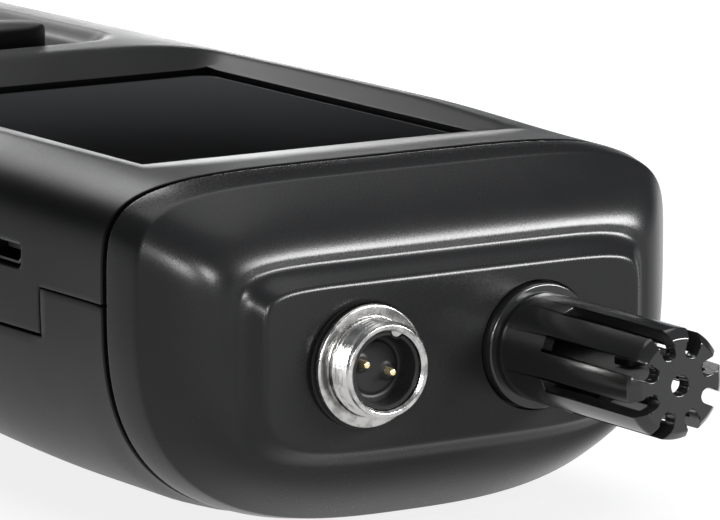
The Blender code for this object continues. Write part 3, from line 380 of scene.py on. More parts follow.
def turned_points(radius, height, turns, place):
    """Around the axis through place that points out of the cap, the point at turn t is
    (x + r cos t, y - h, z + r sin t)."""
    radius, height, turns = np.broadcast_arrays(radius, height, turns)
    x, y, z = place
    return np.stack([x + radius * np.cos(turns), y - height, z + radius * np.sin(turns)], -1)


def circle(steps):
    return np.linspace(0, 2 * math.pi, steps, endpoint=False)[None, :]


def turned(name, profile, place, steps=96, closed=False):
    """A profile of (radius, height) corners carried round the axis through place."""
    radius, height = np.asarray(profile, float).T[:, :, None]
    return skin(name, turned_points(radius, height, circle(steps), place), closed)


def applied(target):
    """The target's modifiers made part of its mesh."""
    graph = bpy.context.evaluated_depsgraph_get()
    shaped = bpy.data.meshes.new_from_object(target.evaluated_get(graph))
    target.modifiers.clear()
    target.data = shaped


def cut(target, tool, soften=0.0):
    """The target with the tool taken away, and the edges of the cut softened."""
    modifier = target.modifiers.new("cut", "BOOLEAN")
    modifier.operation = "DIFFERENCE"
    modifier.object = tool
    modifier.solver = "EXACT"
    if soften:
        edge = target.modifiers.new("soften", "BEVEL")
        edge.width = soften
        edge.segments = 2
        edge.limit_method = "ANGLE"
        edge.angle_limit = math.radians(60)
        edge.use_clamp_overlap = False
    applied(target)
    smooth(target.data)
    bpy.data.objects.remove(tool)


def even_shading(target):
    """Shading that follows the larger faces, so that flats next to a round edge look flat."""
    target.modifiers.new("even", "WEIGHTED_NORMAL").keep_sharp = True
    applied(target)


def joined(name, *parts):
    """Several closed mesh objects as one object."""
    shape = bmesh.new()
    for part in parts:
        shape.from_mesh(part.data)
        bpy.data.objects.remove(part)
    mesh = bpy.data.meshes.new(name)
    shape.to_mesh(mesh)
    shape.free()
    return placed(name, mesh)


def finish_piece(piece, slot, maker, *nodes, body="meter"):
    """The piece rides on a body, takes the maker's material and stands for CAD nodes. One with a
    slot in FRONT_SLOTS is lit by the front lights too."""
    piece.data.materials.clear()
    piece.data.materials.append(made_material(maker))
    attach(piece, body)
    if nodes:
        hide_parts(*nodes)
    if slot in FRONT_SLOTS:
        bpy.data.collections["front_end"].objects.link(piece)


def outline_box(left, right, low, high, radii, steps=7):
    """Rectangle whose corners are quarter circles, in the order right-high, left-high, left-low,
    right-low: a point is the corner's centre plus its radius times (cos t, sin t)."""
    corners = np.array([(right, high), (left, high), (left, low), (right, low)])
    inward = np.array([(-1, -1), (1, -1), (1, 1), (-1, 1)])
    radii = np.asarray(radii, float)[:, None]
    centres = (corners + inward * radii)[:, None]
    t = math.pi / 2 * (np.arange(4)[:, None] + np.linspace(0, 1, steps + 1)[None])
    return (centres + radii[:, :, None] * np.stack([np.cos(t), np.sin(t)], -1)).reshape(-1, 2)


# ---------------------------------------------------------------- body form


def superellipse(share, power):
    """Height of the unit superellipse |x|^n + |z|^n = 1 over its share of the half width."""
    return np.clip(1 - np.clip(np.abs(share), 0, 1) ** power, 0, 1) ** (1 / power)


def side_shares(power, first, last, count):
    """(x, z) on the unit superellipse from the height first up to the width share last, spaced
    evenly along the curve."""
    turn = np.linspace(0, math.pi / 2, 6001)
    x, z = np.cos(turn) ** (2 / power), np.sin(turn) ** (2 / power)
    inside = (z >= first) & (x >= last)
    x, z = x[inside], z[inside]
    run = np.concatenate([[0], np.cumsum(np.hypot(np.diff(x), np.diff(z)))])
    at = np.linspace(0, run[-1], count)
    return np.interp(at, run, x), np.interp(at, run, z)


def tail_rows(body, places, tail_steps=12, end_steps=4):
    """Rows of the body as (place, turn, scale) columns. The tail turns through a quarter circle,
    and across the end's flat the widths shrink to nothing."""
    rear = TAIL_END - body.tail_radius
    turn = np.linspace(0, math.pi / 2, tail_steps + 1)[1:]
    scale = np.linspace(1, 0, end_steps + 1)[1:]
    place = np.concatenate([places, np.full(tail_steps + end_steps, rear)])
    turn = np.concatenate([np.zeros(len(places)), turn, np.full(end_steps, math.pi / 2)])
    scale = np.concatenate([np.ones(len(places) + tail_steps), scale])
    return place[:, None], turn[:, None], scale[:, None]


def belly_at(body, place):
    """Depth of the underside: it deepens to the front foot, arches up and returns to the rear
    foot."""
    deep = body.belly + body.bulge
    rear = TAIL_END - body.tail_radius - 0.021
    stations = [(0, body.belly), (0.008, deep), (0.022, deep)]
    stations += [((0.022 + rear) / 2, deep - body.arch), (rear, deep)]
    return eased(stations, place)


def body_rows(body, rows, inner=False):
    """(y, half width, crown, belly, floor, shrink) for each row. Inside, the walls are drawn in by
    the wall, and behind the cap's spigot the crown is the level ceiling. Outside, the front edge is
    round: at f before the edge's end every size loses e - (e^2 - f^2)^0.5. Down the tail's quarter
    circle of radius R every size loses R (1 - cos turn) and y gains R sin turn."""
    place, turn, scale = rows
    wide = body.half_width + body.swell
    high = body.crown + body.rise
    rear = TAIL_END - body.tail_radius
    fullest = body.swell_place
    half = eased([(0, body.half_width), (fullest, wide), (rear, wide - body.tail_taper)], place)
    crown = eased([(0, body.crown), (fullest, high), (rear, high - body.rise / 2)], place)
    belly = belly_at(body, place)
    radius = body.tail_radius
    before = half
    floor = REST_DEPTH
    if inner:
        radius = radius - body.wall
        wall = np.where(place < SEAL_REBATE, body.wall / 2, body.wall)
        crown = np.where(place < SPIGOT_ROOM, crown - wall, body.ceiling)
        half, belly, floor = half - wall, belly - wall, floor - wall
    inset = radius * (1 - np.cos(turn))
    if not inner:
        before_edge = np.clip(body.groove_half + body.edge - place, 0, body.edge)
        inset = inset + body.edge - np.sqrt(body.edge**2 - before_edge**2)
    half, crown, belly, floor = (size - inset for size in (half, crown, belly, floor))
    y = place + radius * np.sin(turn)
    half = half * scale
    shrink = np.where(turn > 0, half / before, 1.0)
    return y, half, crown, belly, floor, shrink


def walled(outer, inner, keep):
    """Faces of a wall between two grids alike, where keep is true, and across its borders, apart
    from the last row, whose left and right halves meet."""
    index = numbered(outer)
    quads = quads_of(index)[keep]
    edges = np.concatenate([quads[:, [side, (side + 1) % 4]] for side in range(4)])
    total = index.size
    code = edges[:, 0] * total + edges[:, 1]
    border = edges[~np.isin(code, edges[:, 1] * total + edges[:, 0])]
    border = border[(border < index[-1, 0]).any(1)]
    across = np.hstack([border[:, ::-1], border + total])
    points = np.concatenate([outer.reshape(-1, 3), inner.reshape(-1, 3)])
    return points, np.concatenate([quads, quads[:, ::-1] + total, across])


def soft_least(a, b, blend):
    """The lesser of two heights, eased where they are within the blend: with h = 0.5 + (b - a) / 2k
    held to 0..1, it is b + (a - b) h - k h (1 - h)."""
    h = np.clip(0.5 + (b - a) / (2 * blend), 0, 1)
    return b + (a - b) * h - blend * h * (1 - h)


def window_distance(x, y, margin):
    """Distance outside the window's outline grown by a margin, with mitred corners."""
    ahead, behind = WINDOW_LOW[1] - margin - y, y - WINDOW_HIGH[1] - margin
    return np.abs(x) - WINDOW_HIGH[0] - margin, ahead, behind


def keypad_distance(top, x, y):
    """Distance outside the keypad's field, a rectangle with round corners of radius r: the length
    of (|x| - a, |y| - b) held above 0, plus the greater of the two where both are below, less r."""
    start = WINDOW_HIGH[1] + top.crest
    middle = start + top.keypad_length / 2
    across = np.abs(x) - (top.keypad_half - top.keypad_corner)
    along = np.abs(y - middle) - (top.keypad_length / 2 - top.keypad_corner)
    outside = np.hypot(np.maximum(across, 0), np.maximum(along, 0))
    return outside + np.minimum(np.maximum(across, along), 0) - top.keypad_corner


def sunk_top(top, x, y, z):
    """Height of the top with its trays: the least of the crown, the display tray's four slopes and
    the keypad tray's floor and walls, and below the tray's edge the window's pocket."""
    side, ahead, behind = window_distance(x, y, top.gap)
    slopes = -soft_least(-side * top.side_slope, -behind * top.far_slope, 0.0007)
    slopes = np.maximum(slopes, ahead * top.near_slope)
    tray = top.tray_floor + np.maximum(slopes, 0)
    distance = keypad_distance(top, x, y)
    wall = -soft_least(-distance * top.keypad_wall, np.zeros_like(distance), 0.0005)
    keypad = top.keypad_floor + wall
    z = soft_least(soft_least(z, tray, 0.00035), keypad, 0.00045)
    edge = np.maximum(np.maximum(side, ahead), behind)
    inward = np.clip(TRAY_LIP - edge, 0, TRAY_LIP)
    z = z - TRAY_LIP + np.sqrt(np.maximum(TRAY_LIP**2 - inward**2, 0))
    return np.where(edge < -0.00001, top.pocket, z)


# ---------------------------------------------------------------- shells


def front_rows(body, *parts):
    """Row places from the groove back, closer round the front edge, with a row each side of the
    seal's rebate and of the spigot's room."""
    edge = body.groove_half + body.edge * (1 - np.cos(np.linspace(0, math.pi / 2, 5)))
    steps = [0.0009, SEAL_REBATE - 0.00001, SEAL_REBATE, 0.0038, 0.00395]
    return np.concatenate([edge, steps, span(*parts)])


def upper_outline(body, outer, shares, levels, columns):
    """Points across the upper shell for one set of rows. From the left: levels down the tongue,
    where x = -w (1 - (|z| / b)^m)^(1/m); the side, at fixed shares of the section; the top, at
    fixed x with z = c (1 - (|x| / w)^n)^(1/n); then the same down the right."""
    y, half, crown, belly, _, shrink = outer
    across, up = shares
    low_x = half * superellipse(levels / np.maximum(belly, 1e-6), body.belly_power)
    side_x, side_z = half * across, crown * up
    top_x = np.broadcast_to(columns * shrink, (len(y), len(columns)))
    top_z = crown * superellipse(top_x / np.maximum(half, 1e-9), body.crown_power)
    low_z = np.broadcast_to(levels, low_x.shape)
    x = np.hstack([-low_x, -side_x, top_x, side_x[:, ::-1], low_x[:, -1:]])
    z = np.hstack([low_z, side_z, top_z, side_z[:, ::-1], low_z[:, -1:]])
    return np.stack([x, np.broadcast_to(y, x.shape), z], -1)


def upper_shell(body, top):
    """The upper shell: an outer grid, the same grid drawn in by the wall, and a wall between
    them."""
    near, far = WINDOW_LOW[1] - top.gap, WINDOW_HIGH[1] + top.gap
    lip = np.array([-0.00006, -0.00002, 0.0, 0.00003, 0.00008, 0.00015])
    inside = near + top.gap + top.ledge, far - top.gap - top.ledge
    tongue = body.port_place - body.tongue_half, body.port_place + body.tongue_half
    keypad = WINDOW_HIGH[1] + top.crest
    keypad_end = keypad + top.keypad_length
    rear = TAIL_END - body.tail_radius
    places = np.concatenate(
        [
            front_rows(body, (0.0045, tongue[0], 0.00052)),
            (near - lip)[::-1],
            span((inside[0], tongue[1], 0.0035), (tongue[1], inside[1], 0.0032)),
            far + lip,
            span(
                (far + 0.0006, keypad + 0.009, 0.00055),
                (keypad + 0.009, keypad_end - 0.009, 0.0016),
                (keypad_end - 0.009, keypad_end + 0.0045, 0.0006),
                (keypad_end + 0.0045, rear, 0.0015),
            ),
        ]
    )
    rows = tail_rows(body, places)
    edge = WINDOW_HIGH[0] + top.gap
    opening = WINDOW_HIGH[0] - top.ledge
    right = np.concatenate(
        [
            span((0, 0.0125, 0.0025), (0.0125, opening, 0.00125))[1:],
            [0.0221, 0.0227, 0.0233, 0.0238],
            edge + lip,
            span((edge + 0.0005, 0.0308, 0.0005)),
        ]
    )
    columns = np.concatenate([-right[::-1], [0], right])
    levels = np.array([-body.tongue_low, -0.0054, -0.0042, -0.0028, -0.0014, -0.00015])
    shares = side_shares(body.crown_power, 0.03, 0.805, 20)
    outer_rows = body_rows(body, rows)
    outer = upper_outline(body, outer_rows, shares, levels, columns)
    x, y, z = np.moveaxis(outer, -1, 0)
    outer[..., 2] = np.where(z > 0.003, sunk_top(top, x, y, z), z)
    inner = upper_outline(body, body_rows(body, rows, inner=True), shares, levels, columns)
    keep = np.ones((outer.shape[0] - 1, outer.shape[1] - 1), bool)
    along = (rows[0][:-1, 0] + rows[0][1:, 0]) / 2
    in_tongue = (along > tongue[0]) & (along < tongue[1])
    keep[:, : len(levels) - 1] = in_tongue[:, None]
    first = len(levels) + len(shares[0])
    middle = (columns[:-1] + columns[1:]) / 2
    open_columns = first + np.flatnonzero(np.abs(middle) < opening)
    open_rows = np.flatnonzero((along > inside[0]) & (along < inside[1]))
    keep[np.ix_(open_rows, open_columns)] = False
    points, quads = walled(outer, inner, keep)
    return solid("upper_shell_form", points, quads)


def lower_shell(body):
    """The lower shell. From the left, the levels down the notch, then the belly at fixed shares of
    the section, held above the resting plane."""
    half = body.tongue_half + body.parting
    tongue = body.port_place - half, body.port_place + half
    rear = TAIL_END - body.tail_radius
    places = front_rows(
        body, (0.006, tongue[0], 0.0016), (tongue[0], tongue[1], 0.003), (tongue[1], rear, 0.003)
    )
    rows = tail_rows(body, places)
    levels = np.array([0, -0.0012, -0.0025, -0.0038, -0.0052, -body.tongue_low])
    levels = levels - (0.00015 + body.parting) * (levels == 0) - body.parting * (levels < -0.0055)
    across, up = side_shares(body.belly_power, 0.26, 0, 34)

    def outline(sizes):
        y, half, _, belly, floor, _ = sizes
        low_z = levels[0] + (levels - levels[0]) * belly / belly[0]
        low_x = half * superellipse(low_z / belly, body.belly_power)
        side_x, side_z = half * across, -np.minimum(belly * up, floor)
        x = np.hstack([-low_x, -side_x, side_x[:, -2::-1], low_x[:, ::-1]])
        z = np.hstack([low_z, side_z, side_z[:, -2::-1], low_z[:, ::-1]])
        return np.stack([x, np.broadcast_to(y, x.shape), z], -1)

    outer = outline(body_rows(body, rows))
    inner = outline(body_rows(body, rows, inner=True))
    keep = np.ones((outer.shape[0] - 1, outer.shape[1] - 1), bool)
    along = (rows[0][:-1, 0] + rows[0][1:, 0]) / 2
    in_notch = (along > tongue[0]) & (along < tongue[1])
    keep[:, : len(levels) - 1] = ~in_notch[:, None]
    points, quads = walled(outer, inner, keep)
    return solid("lower_shell_form", points, quads)


def screw_places(body):
    side = body.half_width - SCREW_SIDE_ROOM
    return [(x, y) for y in (FRONT_SCREWS, TAIL_END - REAR_SCREW_ROOM) for x in (-side, side)]


def case_boss(body, x, y):
    """A post from inside the belly's wall up to the parting line, stepped inside for the screw's
    head. Its foot follows the belly: z = -b (1 - (|x| / w)^m)^(1/m) plus half a wall."""
    radius = [SCREW_HEAD_RADIUS, BOSS_RADIUS, BOSS_RADIUS, SCREW_RADIUS, SCREW_RADIUS]
    radius = np.array([*radius, SCREW_HEAD_RADIUS])[:, None]
    across, along = x + radius * np.cos(circle(48)), y + radius * np.sin(circle(48))
    foot = -belly_at(body, along) * superellipse(across / body.half_width, body.belly_power)
    foot = np.maximum(foot, -REST_DEPTH) + body.wall / 2
    level = np.repeat([0, BOSS_TOP, SCREW_HEAD_SEAT], 2)[:, None]
    height = np.where(level == 0, foot, level)
    points = np.stack([across, along, height], -1)
    return skin("boss", points, wrap_rows=True)


def flare(radius, steps=5):
    """How a cutter opens out at a surface so that the rim it leaves is round, as (wider, height):
    it is r (1 - cos a) wider at r sin a - r over the surface, for a up to 80 degrees."""
    a = np.radians(np.linspace(0, 80, steps))
    return list(zip(radius * (1 - np.cos(a)), radius * (np.sin(a) - 1)))


def key_hole(outline, gap, floor):
    """A cutter for one key's hole: its outline grown by the gap, opening out at the keypad's
    floor."""
    rows = [(gap, floor - HOLE_DEPTH)] + [(gap + wider, floor + up) for wider, up in flare(0.0002)]
    rows.append((rows[-1][0], floor + 2 * HOLE_DEPTH))
    loops = [level_loop(outline(grow), height) for grow, height in rows]
    loops = np.array([loops[0], *loops, loops[-1]])
    loops[[0, -1], :, :2] = loops[[0, -1], :, :2].mean(1, keepdims=True)
    return skin("hole", loops)


# ---------------------------------------------------------------- end cap


def outline_turns(body, count):
    """Section angles whose points lie evenly along the rim, closer where it turns: even steps of
    arc length and of turning added together."""
    dense = np.linspace(0, 2 * math.pi, 12001)
    powers = (body.crown_power, body.belly_power)
    x, z = section(dense, body.half_width, body.crown, body.belly, powers)
    dx, dz = np.diff(x), np.diff(z)
    run = np.cumsum(np.hypot(dx, dz))
    heading = np.unwrap(np.arctan2(dz, dx))
    turned_by = np.concatenate([[0], np.cumsum(np.abs(np.diff(heading)))])
    measure = np.concatenate([[0], run / run[-1] + turned_by / turned_by[-1]])
    return np.interp(np.linspace(0, measure[-1], count, endpoint=False), measure, dense)


def section(t, half, crown, belly, powers):
    """(x, z) = (w sgn(cos t) |cos t|^(2/n), h sgn(sin t) |sin t|^(2/n)), with the crown's height
    and power above and the belly's below."""
    across, up = np.cos(t), np.sin(t)
    power = np.where(up >= 0, powers[0], powers[1])
    high = np.where(up >= 0, crown, belly)
    x = half * np.sign(across) * np.abs(across) ** (2 / power)
    return x, high * np.sign(up) * np.abs(up) ** (2 / power)


def end_cap(body, cap, count=176):
    """One grid from the middle of the cap's inside, round its edge, and in to the middle of the
    platform. The face between rim and platform is (1 - s) rim + s platform, at the depth
    rim + pillow sin(s * 90 degrees)."""
    t = outline_turns(body, count)

    def rim(place, inset):
        sizes = (body.half_width - inset, body.crown - inset, body.belly - inset)
        x, z = section(t, *sizes, (body.crown_power, body.belly_power))
        return np.stack([x, np.full(count, place), z], -1)

    def platform(place, grow, share=1.0):
        half, high = cap.platform_half + grow, cap.platform_height + grow
        x, z = section(t, half, high, high, (cap.top_power, cap.base_power))
        return np.stack([x * share, np.full(count, place), z * share + cap.platform_middle], -1)

    def pillow(start, depth, inset, grow, share):
        place = -start - depth * math.sin(share * math.pi / 2)
        return rim(place, inset) * (1 - share) + platform(place, grow) * share

    spigot = body.wall + FIT
    inner = spigot + 0.0014
    back = -PLATFORM_FACE + cap.face_wall
    within = -cap.side_wall
    loops = [(platform(back, within, share), 0) for share in (0, 0.35, 0.7)]
    loops.append((platform(back, within), 0.0003))
    depth = cap.pillow - cap.wall / 3
    shares = (1, 0.75, 0.5, 0.25, 0)
    loops += [(pillow(cap.rim - cap.wall, depth, inner, within, share), 0) for share in shares]
    loops += [
        (rim(SPIGOT_LENGTH, inner), 0.0002),
        (rim(SPIGOT_LENGTH, spigot), 0.0003),
        (rim(-body.groove_half, spigot), 0.00005),
        (rim(-body.groove_half, 0), 0.00035),
        (rim(-0.5 * cap.rim, cap.rim_inset * 0.22), 0),
        (rim(-cap.rim, cap.rim_inset), 0.0009),
    ]
    shares = np.linspace(0, 1, 30)[1:-4]
    face = (cap.rim, cap.pillow, cap.rim_inset, cap.slope)
    loops += [(pillow(*face, share), 0) for share in shares]
    loops.append((platform(-cap.rim - cap.pillow, cap.slope), cap.fillet))
    loops.append((platform(-PLATFORM_FACE, cap.edge / 2), cap.edge))
    loops += [(platform(-PLATFORM_FACE, -0.0015, share), 0) for share in (1, 0.85, 0.6, 0.3, 0)]
    rows = rounded(np.array([loop for loop, _ in loops]), np.array([cut for _, cut in loops]), 5)
    return skin("end_cap_form", rows)


# ---------------------------------------------------------------- probe socket


def keyed_bore(socket, t, bore, ridge):
    """Radius of a bore with a key in it at each turn t. The key is a circle of radius q whose
    middle is at c: r = c cos a - (q^2 - c^2 sin^2 a)^0.5, with a measured from the key."""
    middle = socket.bore + socket.ridge / 4
    a = t - math.pi / 2 - socket.turn
    inside = ridge**2 - (middle * np.sin(a)) ** 2
    near = middle * np.cos(a) - np.sqrt(np.maximum(inside, 0))
    return np.where((inside > 0) & (np.cos(a) > 0), np.minimum(near, bore), bore)


def socket_shell(socket, steps=144):
    """The plated socket. Its outside is R - d T(h / p - t / 2 pi), where T is a triangle wave, so
    the thread climbs one pitch p a turn. Its bore is cut by the key."""
    low, top = FLANGE_FACE, FLANGE_FACE + FLANGE_THICKNESS
    thread, bore, rim, barrel = socket.thread, socket.bore, socket.reach, socket.thread - 0.0002
    outside = [(bore, -socket.tail), (barrel, -socket.tail), (barrel, low)]
    outside += [(socket.flange, low), (socket.flange, top), (thread, top)]
    ring = rounded(outside, [0.0001, 0.0001, 0.00003, 0.00015, 0.0003, 0.0002], 4, closed=True)[5:]
    climb = np.arange(top + 0.0004, rim - 0.0005, socket.pitch / 10)
    mouth = [(thread, rim - 0.00045), (thread - 0.00042, rim), (bore + 0.0003, rim)]
    mouth = rounded([*mouth, (bore, rim - 0.0003)], 0.00006, 3)
    down = [rim - 0.0007, rim - 0.00075, 0.002, -0.0040, -0.0041, -socket.tail + 0.0002]
    levels = (np.full(len(climb), thread), np.full(len(down), bore))
    radius = np.concatenate([ring[:, 0], levels[0], mouth[:, 0], levels[1]])
    height = np.concatenate([ring[:, 1], climb, mouth[:, 1], down])
    threaded, keyed = np.zeros((2, len(radius), 1))
    threaded[len(ring) : len(ring) + len(climb) + 1] = 1
    keyed[[-5, -4, -3]] = 1
    radius, height = radius[:, None], height[:, None]
    t = circle(steps)
    wave = np.abs((height / socket.pitch - t / (2 * math.pi)) % 1 * 2 - 1)
    start = np.clip((height - top) / 0.0008, 0, 1)
    radius = radius - threaded * start * socket.depth * wave
    key = keyed_bore(socket, t, bore, socket.ridge)
    radius = radius * (1 - keyed) + np.minimum(radius, key) * keyed
    points = turned_points(radius, height, t, (socket.x, -PLATFORM_FACE, socket.z))
    return skin("socket_shell", points, wrap_rows=True, crease=THREAD_CREASE)


def pin_places(socket):
    """(x, z) of each pin from the socket's middle: half the spacing along (cos turn, sin turn)."""
    reach = socket.pin_spacing / 2
    right = np.array((reach * math.cos(socket.turn), reach * math.sin(socket.turn)))
    return {-1: -right, 1: right}


def socket_insert(socket, steps=120):
    """The black insert, a cup that lines the bore. Its face is h = face, less a shallow ring
    groove, plus a low hub 0.15 mm high round each pin that falls off over 0.3 mm. Its wall stops
    for the key."""
    t = circle(steps)
    edge = keyed_bore(socket, t, socket.bore - 0.00006, socket.ridge + 0.0002)
    within = np.minimum(socket.bore - 0.0006, edge - 0.00002)
    radius = np.linspace(0, 1, 36)[:, None] * within
    x, z = radius * np.cos(t), radius * np.sin(t)
    hubs = np.minimum(*(np.hypot(x - pin[0], z - pin[1]) for pin in pin_places(socket).values()))
    height = socket.face + 0.00015 * np.clip((0.0012 - hubs) / 0.0003, 0, 1)
    height = height - 0.00012 * np.exp(-(((radius - 0.0034) / 0.0002) ** 2))
    top, back = socket.reach - 0.0006, -socket.tail - 0.0003
    wall = [(within, socket.face + 0.0002), (within, top - 0.0001), (within + 0.00008, top)]
    wall += [(edge - 0.00004, top), (edge, top - 0.0001), (edge, back), (0 * edge, back)]
    radius = np.concatenate([radius, *(ring for ring, _ in wall)])
    height = np.concatenate([height, *(np.full((1, steps), level) for _, level in wall)])
    place = (socket.x, -PLATFORM_FACE, socket.z)
    return skin("socket_insert", turned_points(radius, height, t, place))


def contact_pin(socket, side):
    r, tip, back = socket.pin, socket.pin_reach, -socket.tail - 0.0003
    corners = [(0, tip), (r * 0.95, tip), (r, tip - 2.2 * r), (r, back), (0, back)]
    profile = rounded(corners, [0, r, 0.0001, 0.0001, 0], 5)
    across, up = pin_places(socket)[side]
    return turned("contact_pin", profile, (socket.x + across, -PLATFORM_FACE, socket.z + up), 32)


# ---------------------------------------------------------------- air sensor


def sensor_collar(sensor, place):
    bore = sensor.cage - sensor.wall - 0.0003
    seat, top, end = -sensor.sink + 0.0003, sensor.collar_reach, sensor.collar_reach + 0.003
    profile = [(bore, end), (bore, top), (sensor.collar, top), (sensor.collar, seat)]
    profile += [(sensor.neck, seat), (sensor.neck, -sensor.neck_tail)]
    profile += [(sensor.neck_bore, -sensor.neck_tail), (sensor.neck_bore, end)]
    profile = rounded(profile, 0.0003, 4, closed=True)
    return turned("sensor_collar_form", profile, place, closed=True)


def sensor_cage(sensor, place):
    """The cage before its slots: a tube with a closed end, its chamfer and edges rounded."""
    outer, bore, foot = sensor.cage, sensor.cage - sensor.wall, sensor.collar_reach + FIT
    tip, floor, edge = sensor.reach, sensor.reach - sensor.tip, sensor.cage - sensor.chamfer
    flat = [(radius, tip) for radius in span((sensor.hole + 0.0003, edge - 0.0003, 0.0003))]
    corners = [(sensor.hole, tip), *flat, (edge, tip), (outer, tip - sensor.chamfer), (outer, foot)]
    corners += [(bore, foot), (bore, floor), (sensor.hole, floor)]
    cuts = [0.00015, *(0 for _ in flat), 0.0003, 0.0004, 0.0004, 0.0001, 0.0003, 0.0001]
    profile = rounded(corners, cuts, 5, closed=True)
    return turned("sensor_cage_form", profile, place, 128, closed=True)


def cage_slots(sensor, place):
    """Cutters for the slots: each outline is a half circle at the slot's inner end and straight
    sides out past the cage, carried along the axis."""
    half = sensor.slot_width / 2
    t = np.linspace(math.pi / 2, 3 * math.pi / 2, 13)
    out = 2 * sensor.cage
    inner = np.stack([sensor.slot_inner + half * np.cos(t), half * np.sin(t)], -1)
    outline = np.concatenate([inner, [(out, -half), (out, half)]])
    low, high = place[1] - sensor.reach + sensor.slot_length, place[1] - sensor.reach - 0.004
    parts = []
    for number in range(sensor.slots):
        turn = 2 * math.pi * (number + 0.5) / sensor.slots
        cos, sin = math.cos(turn), math.sin(turn)
        across = outline @ np.array([(cos, sin), (-sin, cos)]) + (place[0], place[2])
        parts.append(carried("slot", across, low, high, axis=1))
    return joined("slots", *parts)


# ---------------------------------------------------------------- display and keys


def window_glass():
    """The window: its outline carried up, with round edges of radius r, where the outline draws in
    by r (1 - cos a) as the height gains r sin a."""
    low, high, radius = WINDOW_LOW, WINDOW_HIGH, WINDOW_EDGE
    a = np.linspace(0, math.pi / 2, 6)
    out, back = radius * (1 - np.sin(a)), radius * (1 - np.cos(a))
    rows = []
    for height, inset in zip([*(low[2] + back), *(high[2] - out)], [*out, *back]):
        sides = (low[0] + inset, high[0] - inset, low[1] + inset, high[1] - inset)
        rows.append(level_loop(outline_box(*sides, [WINDOW_CORNER - inset] * 4, 5), height))
    rows = np.array(rows)
    middle = rows.mean(1, keepdims=True)
    ends = [middle[:1] + (rows[:1] - middle[:1]) * share for share in (0, 0.6, 0.998)]
    caps = [middle[-1:] + (rows[-1:] - middle[-1:]) * share for share in (0.998, 0.6, 0)]
    return skin("window_glass", np.concatenate([*ends, rows, *caps]))


def key_rows(top, keys):
    """Places of the soft keys, the direction ring and the power key behind the groove."""
    soft = WINDOW_HIGH[1] + top.crest + keys.row + keys.soft_depth / 2
    pad = soft + keys.soft_depth / 2 + keys.row + keys.pad
    return soft, pad, pad + keys.pad + keys.row + keys.power_depth / 2


def soft_key(top, keys, side, grow):
    row = key_rows(top, keys)[0]
    inner, outer = keys.spacing / 2 - grow, keys.spacing / 2 + keys.soft_width + grow
    end, corner = keys.soft_end + grow, keys.soft_corner + grow
    half = keys.soft_depth / 2 + grow
    if side > 0:
        return outline_box(inner, outer, row - half, row + half, [end, corner, corner, end])
    return outline_box(-outer, -inner, row - half, row + half, [corner, end, end, corner])


def ring_key(top, keys, direction, grow):
    """A quarter of a ring round the middle key. Each arc stops where it is half the key spacing
    from the quarter's edge: asin(edge / radius) short of 45 degrees."""
    row = key_rows(top, keys)[1]
    arcs = []
    for radius, way in ((keys.pad + grow, 1), (keys.middle + keys.spacing - grow, -1)):
        reach = math.pi / 4 - math.asin((keys.spacing / 2 - grow) / radius)
        t = math.radians(direction) + way * np.linspace(-reach, reach, 15)
        arcs.append(radius * np.stack([np.cos(t), np.sin(t)], -1))
    cuts = np.where(np.arange(30) % 15 % 14 == 0, 0.0008, 0)
    return rounded(np.concatenate(arcs), cuts, 4, closed=True) + (0, row)


def round_key(top, keys, grow):
    t = circle(48)[0]
    return (keys.middle + grow) * np.stack([np.cos(t), np.sin(t)], -1) + (0, key_rows(top, keys)[1])


def power_key(top, keys, grow):
    row = key_rows(top, keys)[2]
    wide, deep = keys.power_width / 2 + grow, keys.power_depth / 2 + grow
    return outline_box(-wide, wide, row - deep, row + deep, [keys.power_depth / 3 + grow] * 4)


def key_outlines(top, keys):
    """For each key, its outline as a function of how far it is grown."""
    outlines = {
        f"key_soft_{side}": partial(soft_key, top, keys, way)
        for side, way in (("left", -1), ("right", 1))
    }
    for side, heading in (("up", 270), ("down", 90), ("left", 180), ("right", 0)):
        outlines[f"key_{side}"] = partial(ring_key, top, keys, heading)
    outlines["key_ok"] = partial(round_key, top, keys)
    outlines["key_power"] = partial(power_key, top, keys)
    return outlines


def key_cap(name, outline, top, body, keys):
    """A key: its flange, its walls, a quarter-round edge, and a dome that rises (1 - k^2) over the
    outline drawn in to its middle by k."""
    flange_high = body.ceiling - FIT
    flange_low = flange_high - keys.flange_thickness
    crown = top.keypad_floor + keys.height - KEY_DOME
    r = keys.rounding
    middle = outline(0).mean(0)
    rows = [(keys.flange, flange_low), (keys.flange, flange_high), (0, flange_high)]
    turns = np.linspace(0, math.pi / 2, 7)
    rows += [(-r * (1 - math.cos(a)), crown - r * (1 - math.sin(a))) for a in turns]
    loops = [level_loop(outline(keys.flange) * 0 + middle, flange_low)]
    loops += [level_loop(outline(grow), height) for grow, height in rows]
    last = outline(-r)
    for k in (0.9, 0.75, 0.55, 0.35, 0.15, 0):
        loops.append(level_loop(middle + (last - middle) * k, crown + KEY_DOME * (1 - k * k)))
    return skin(f"{name}_cap", np.array(loops))


# ---------------------------------------------------------------- materials


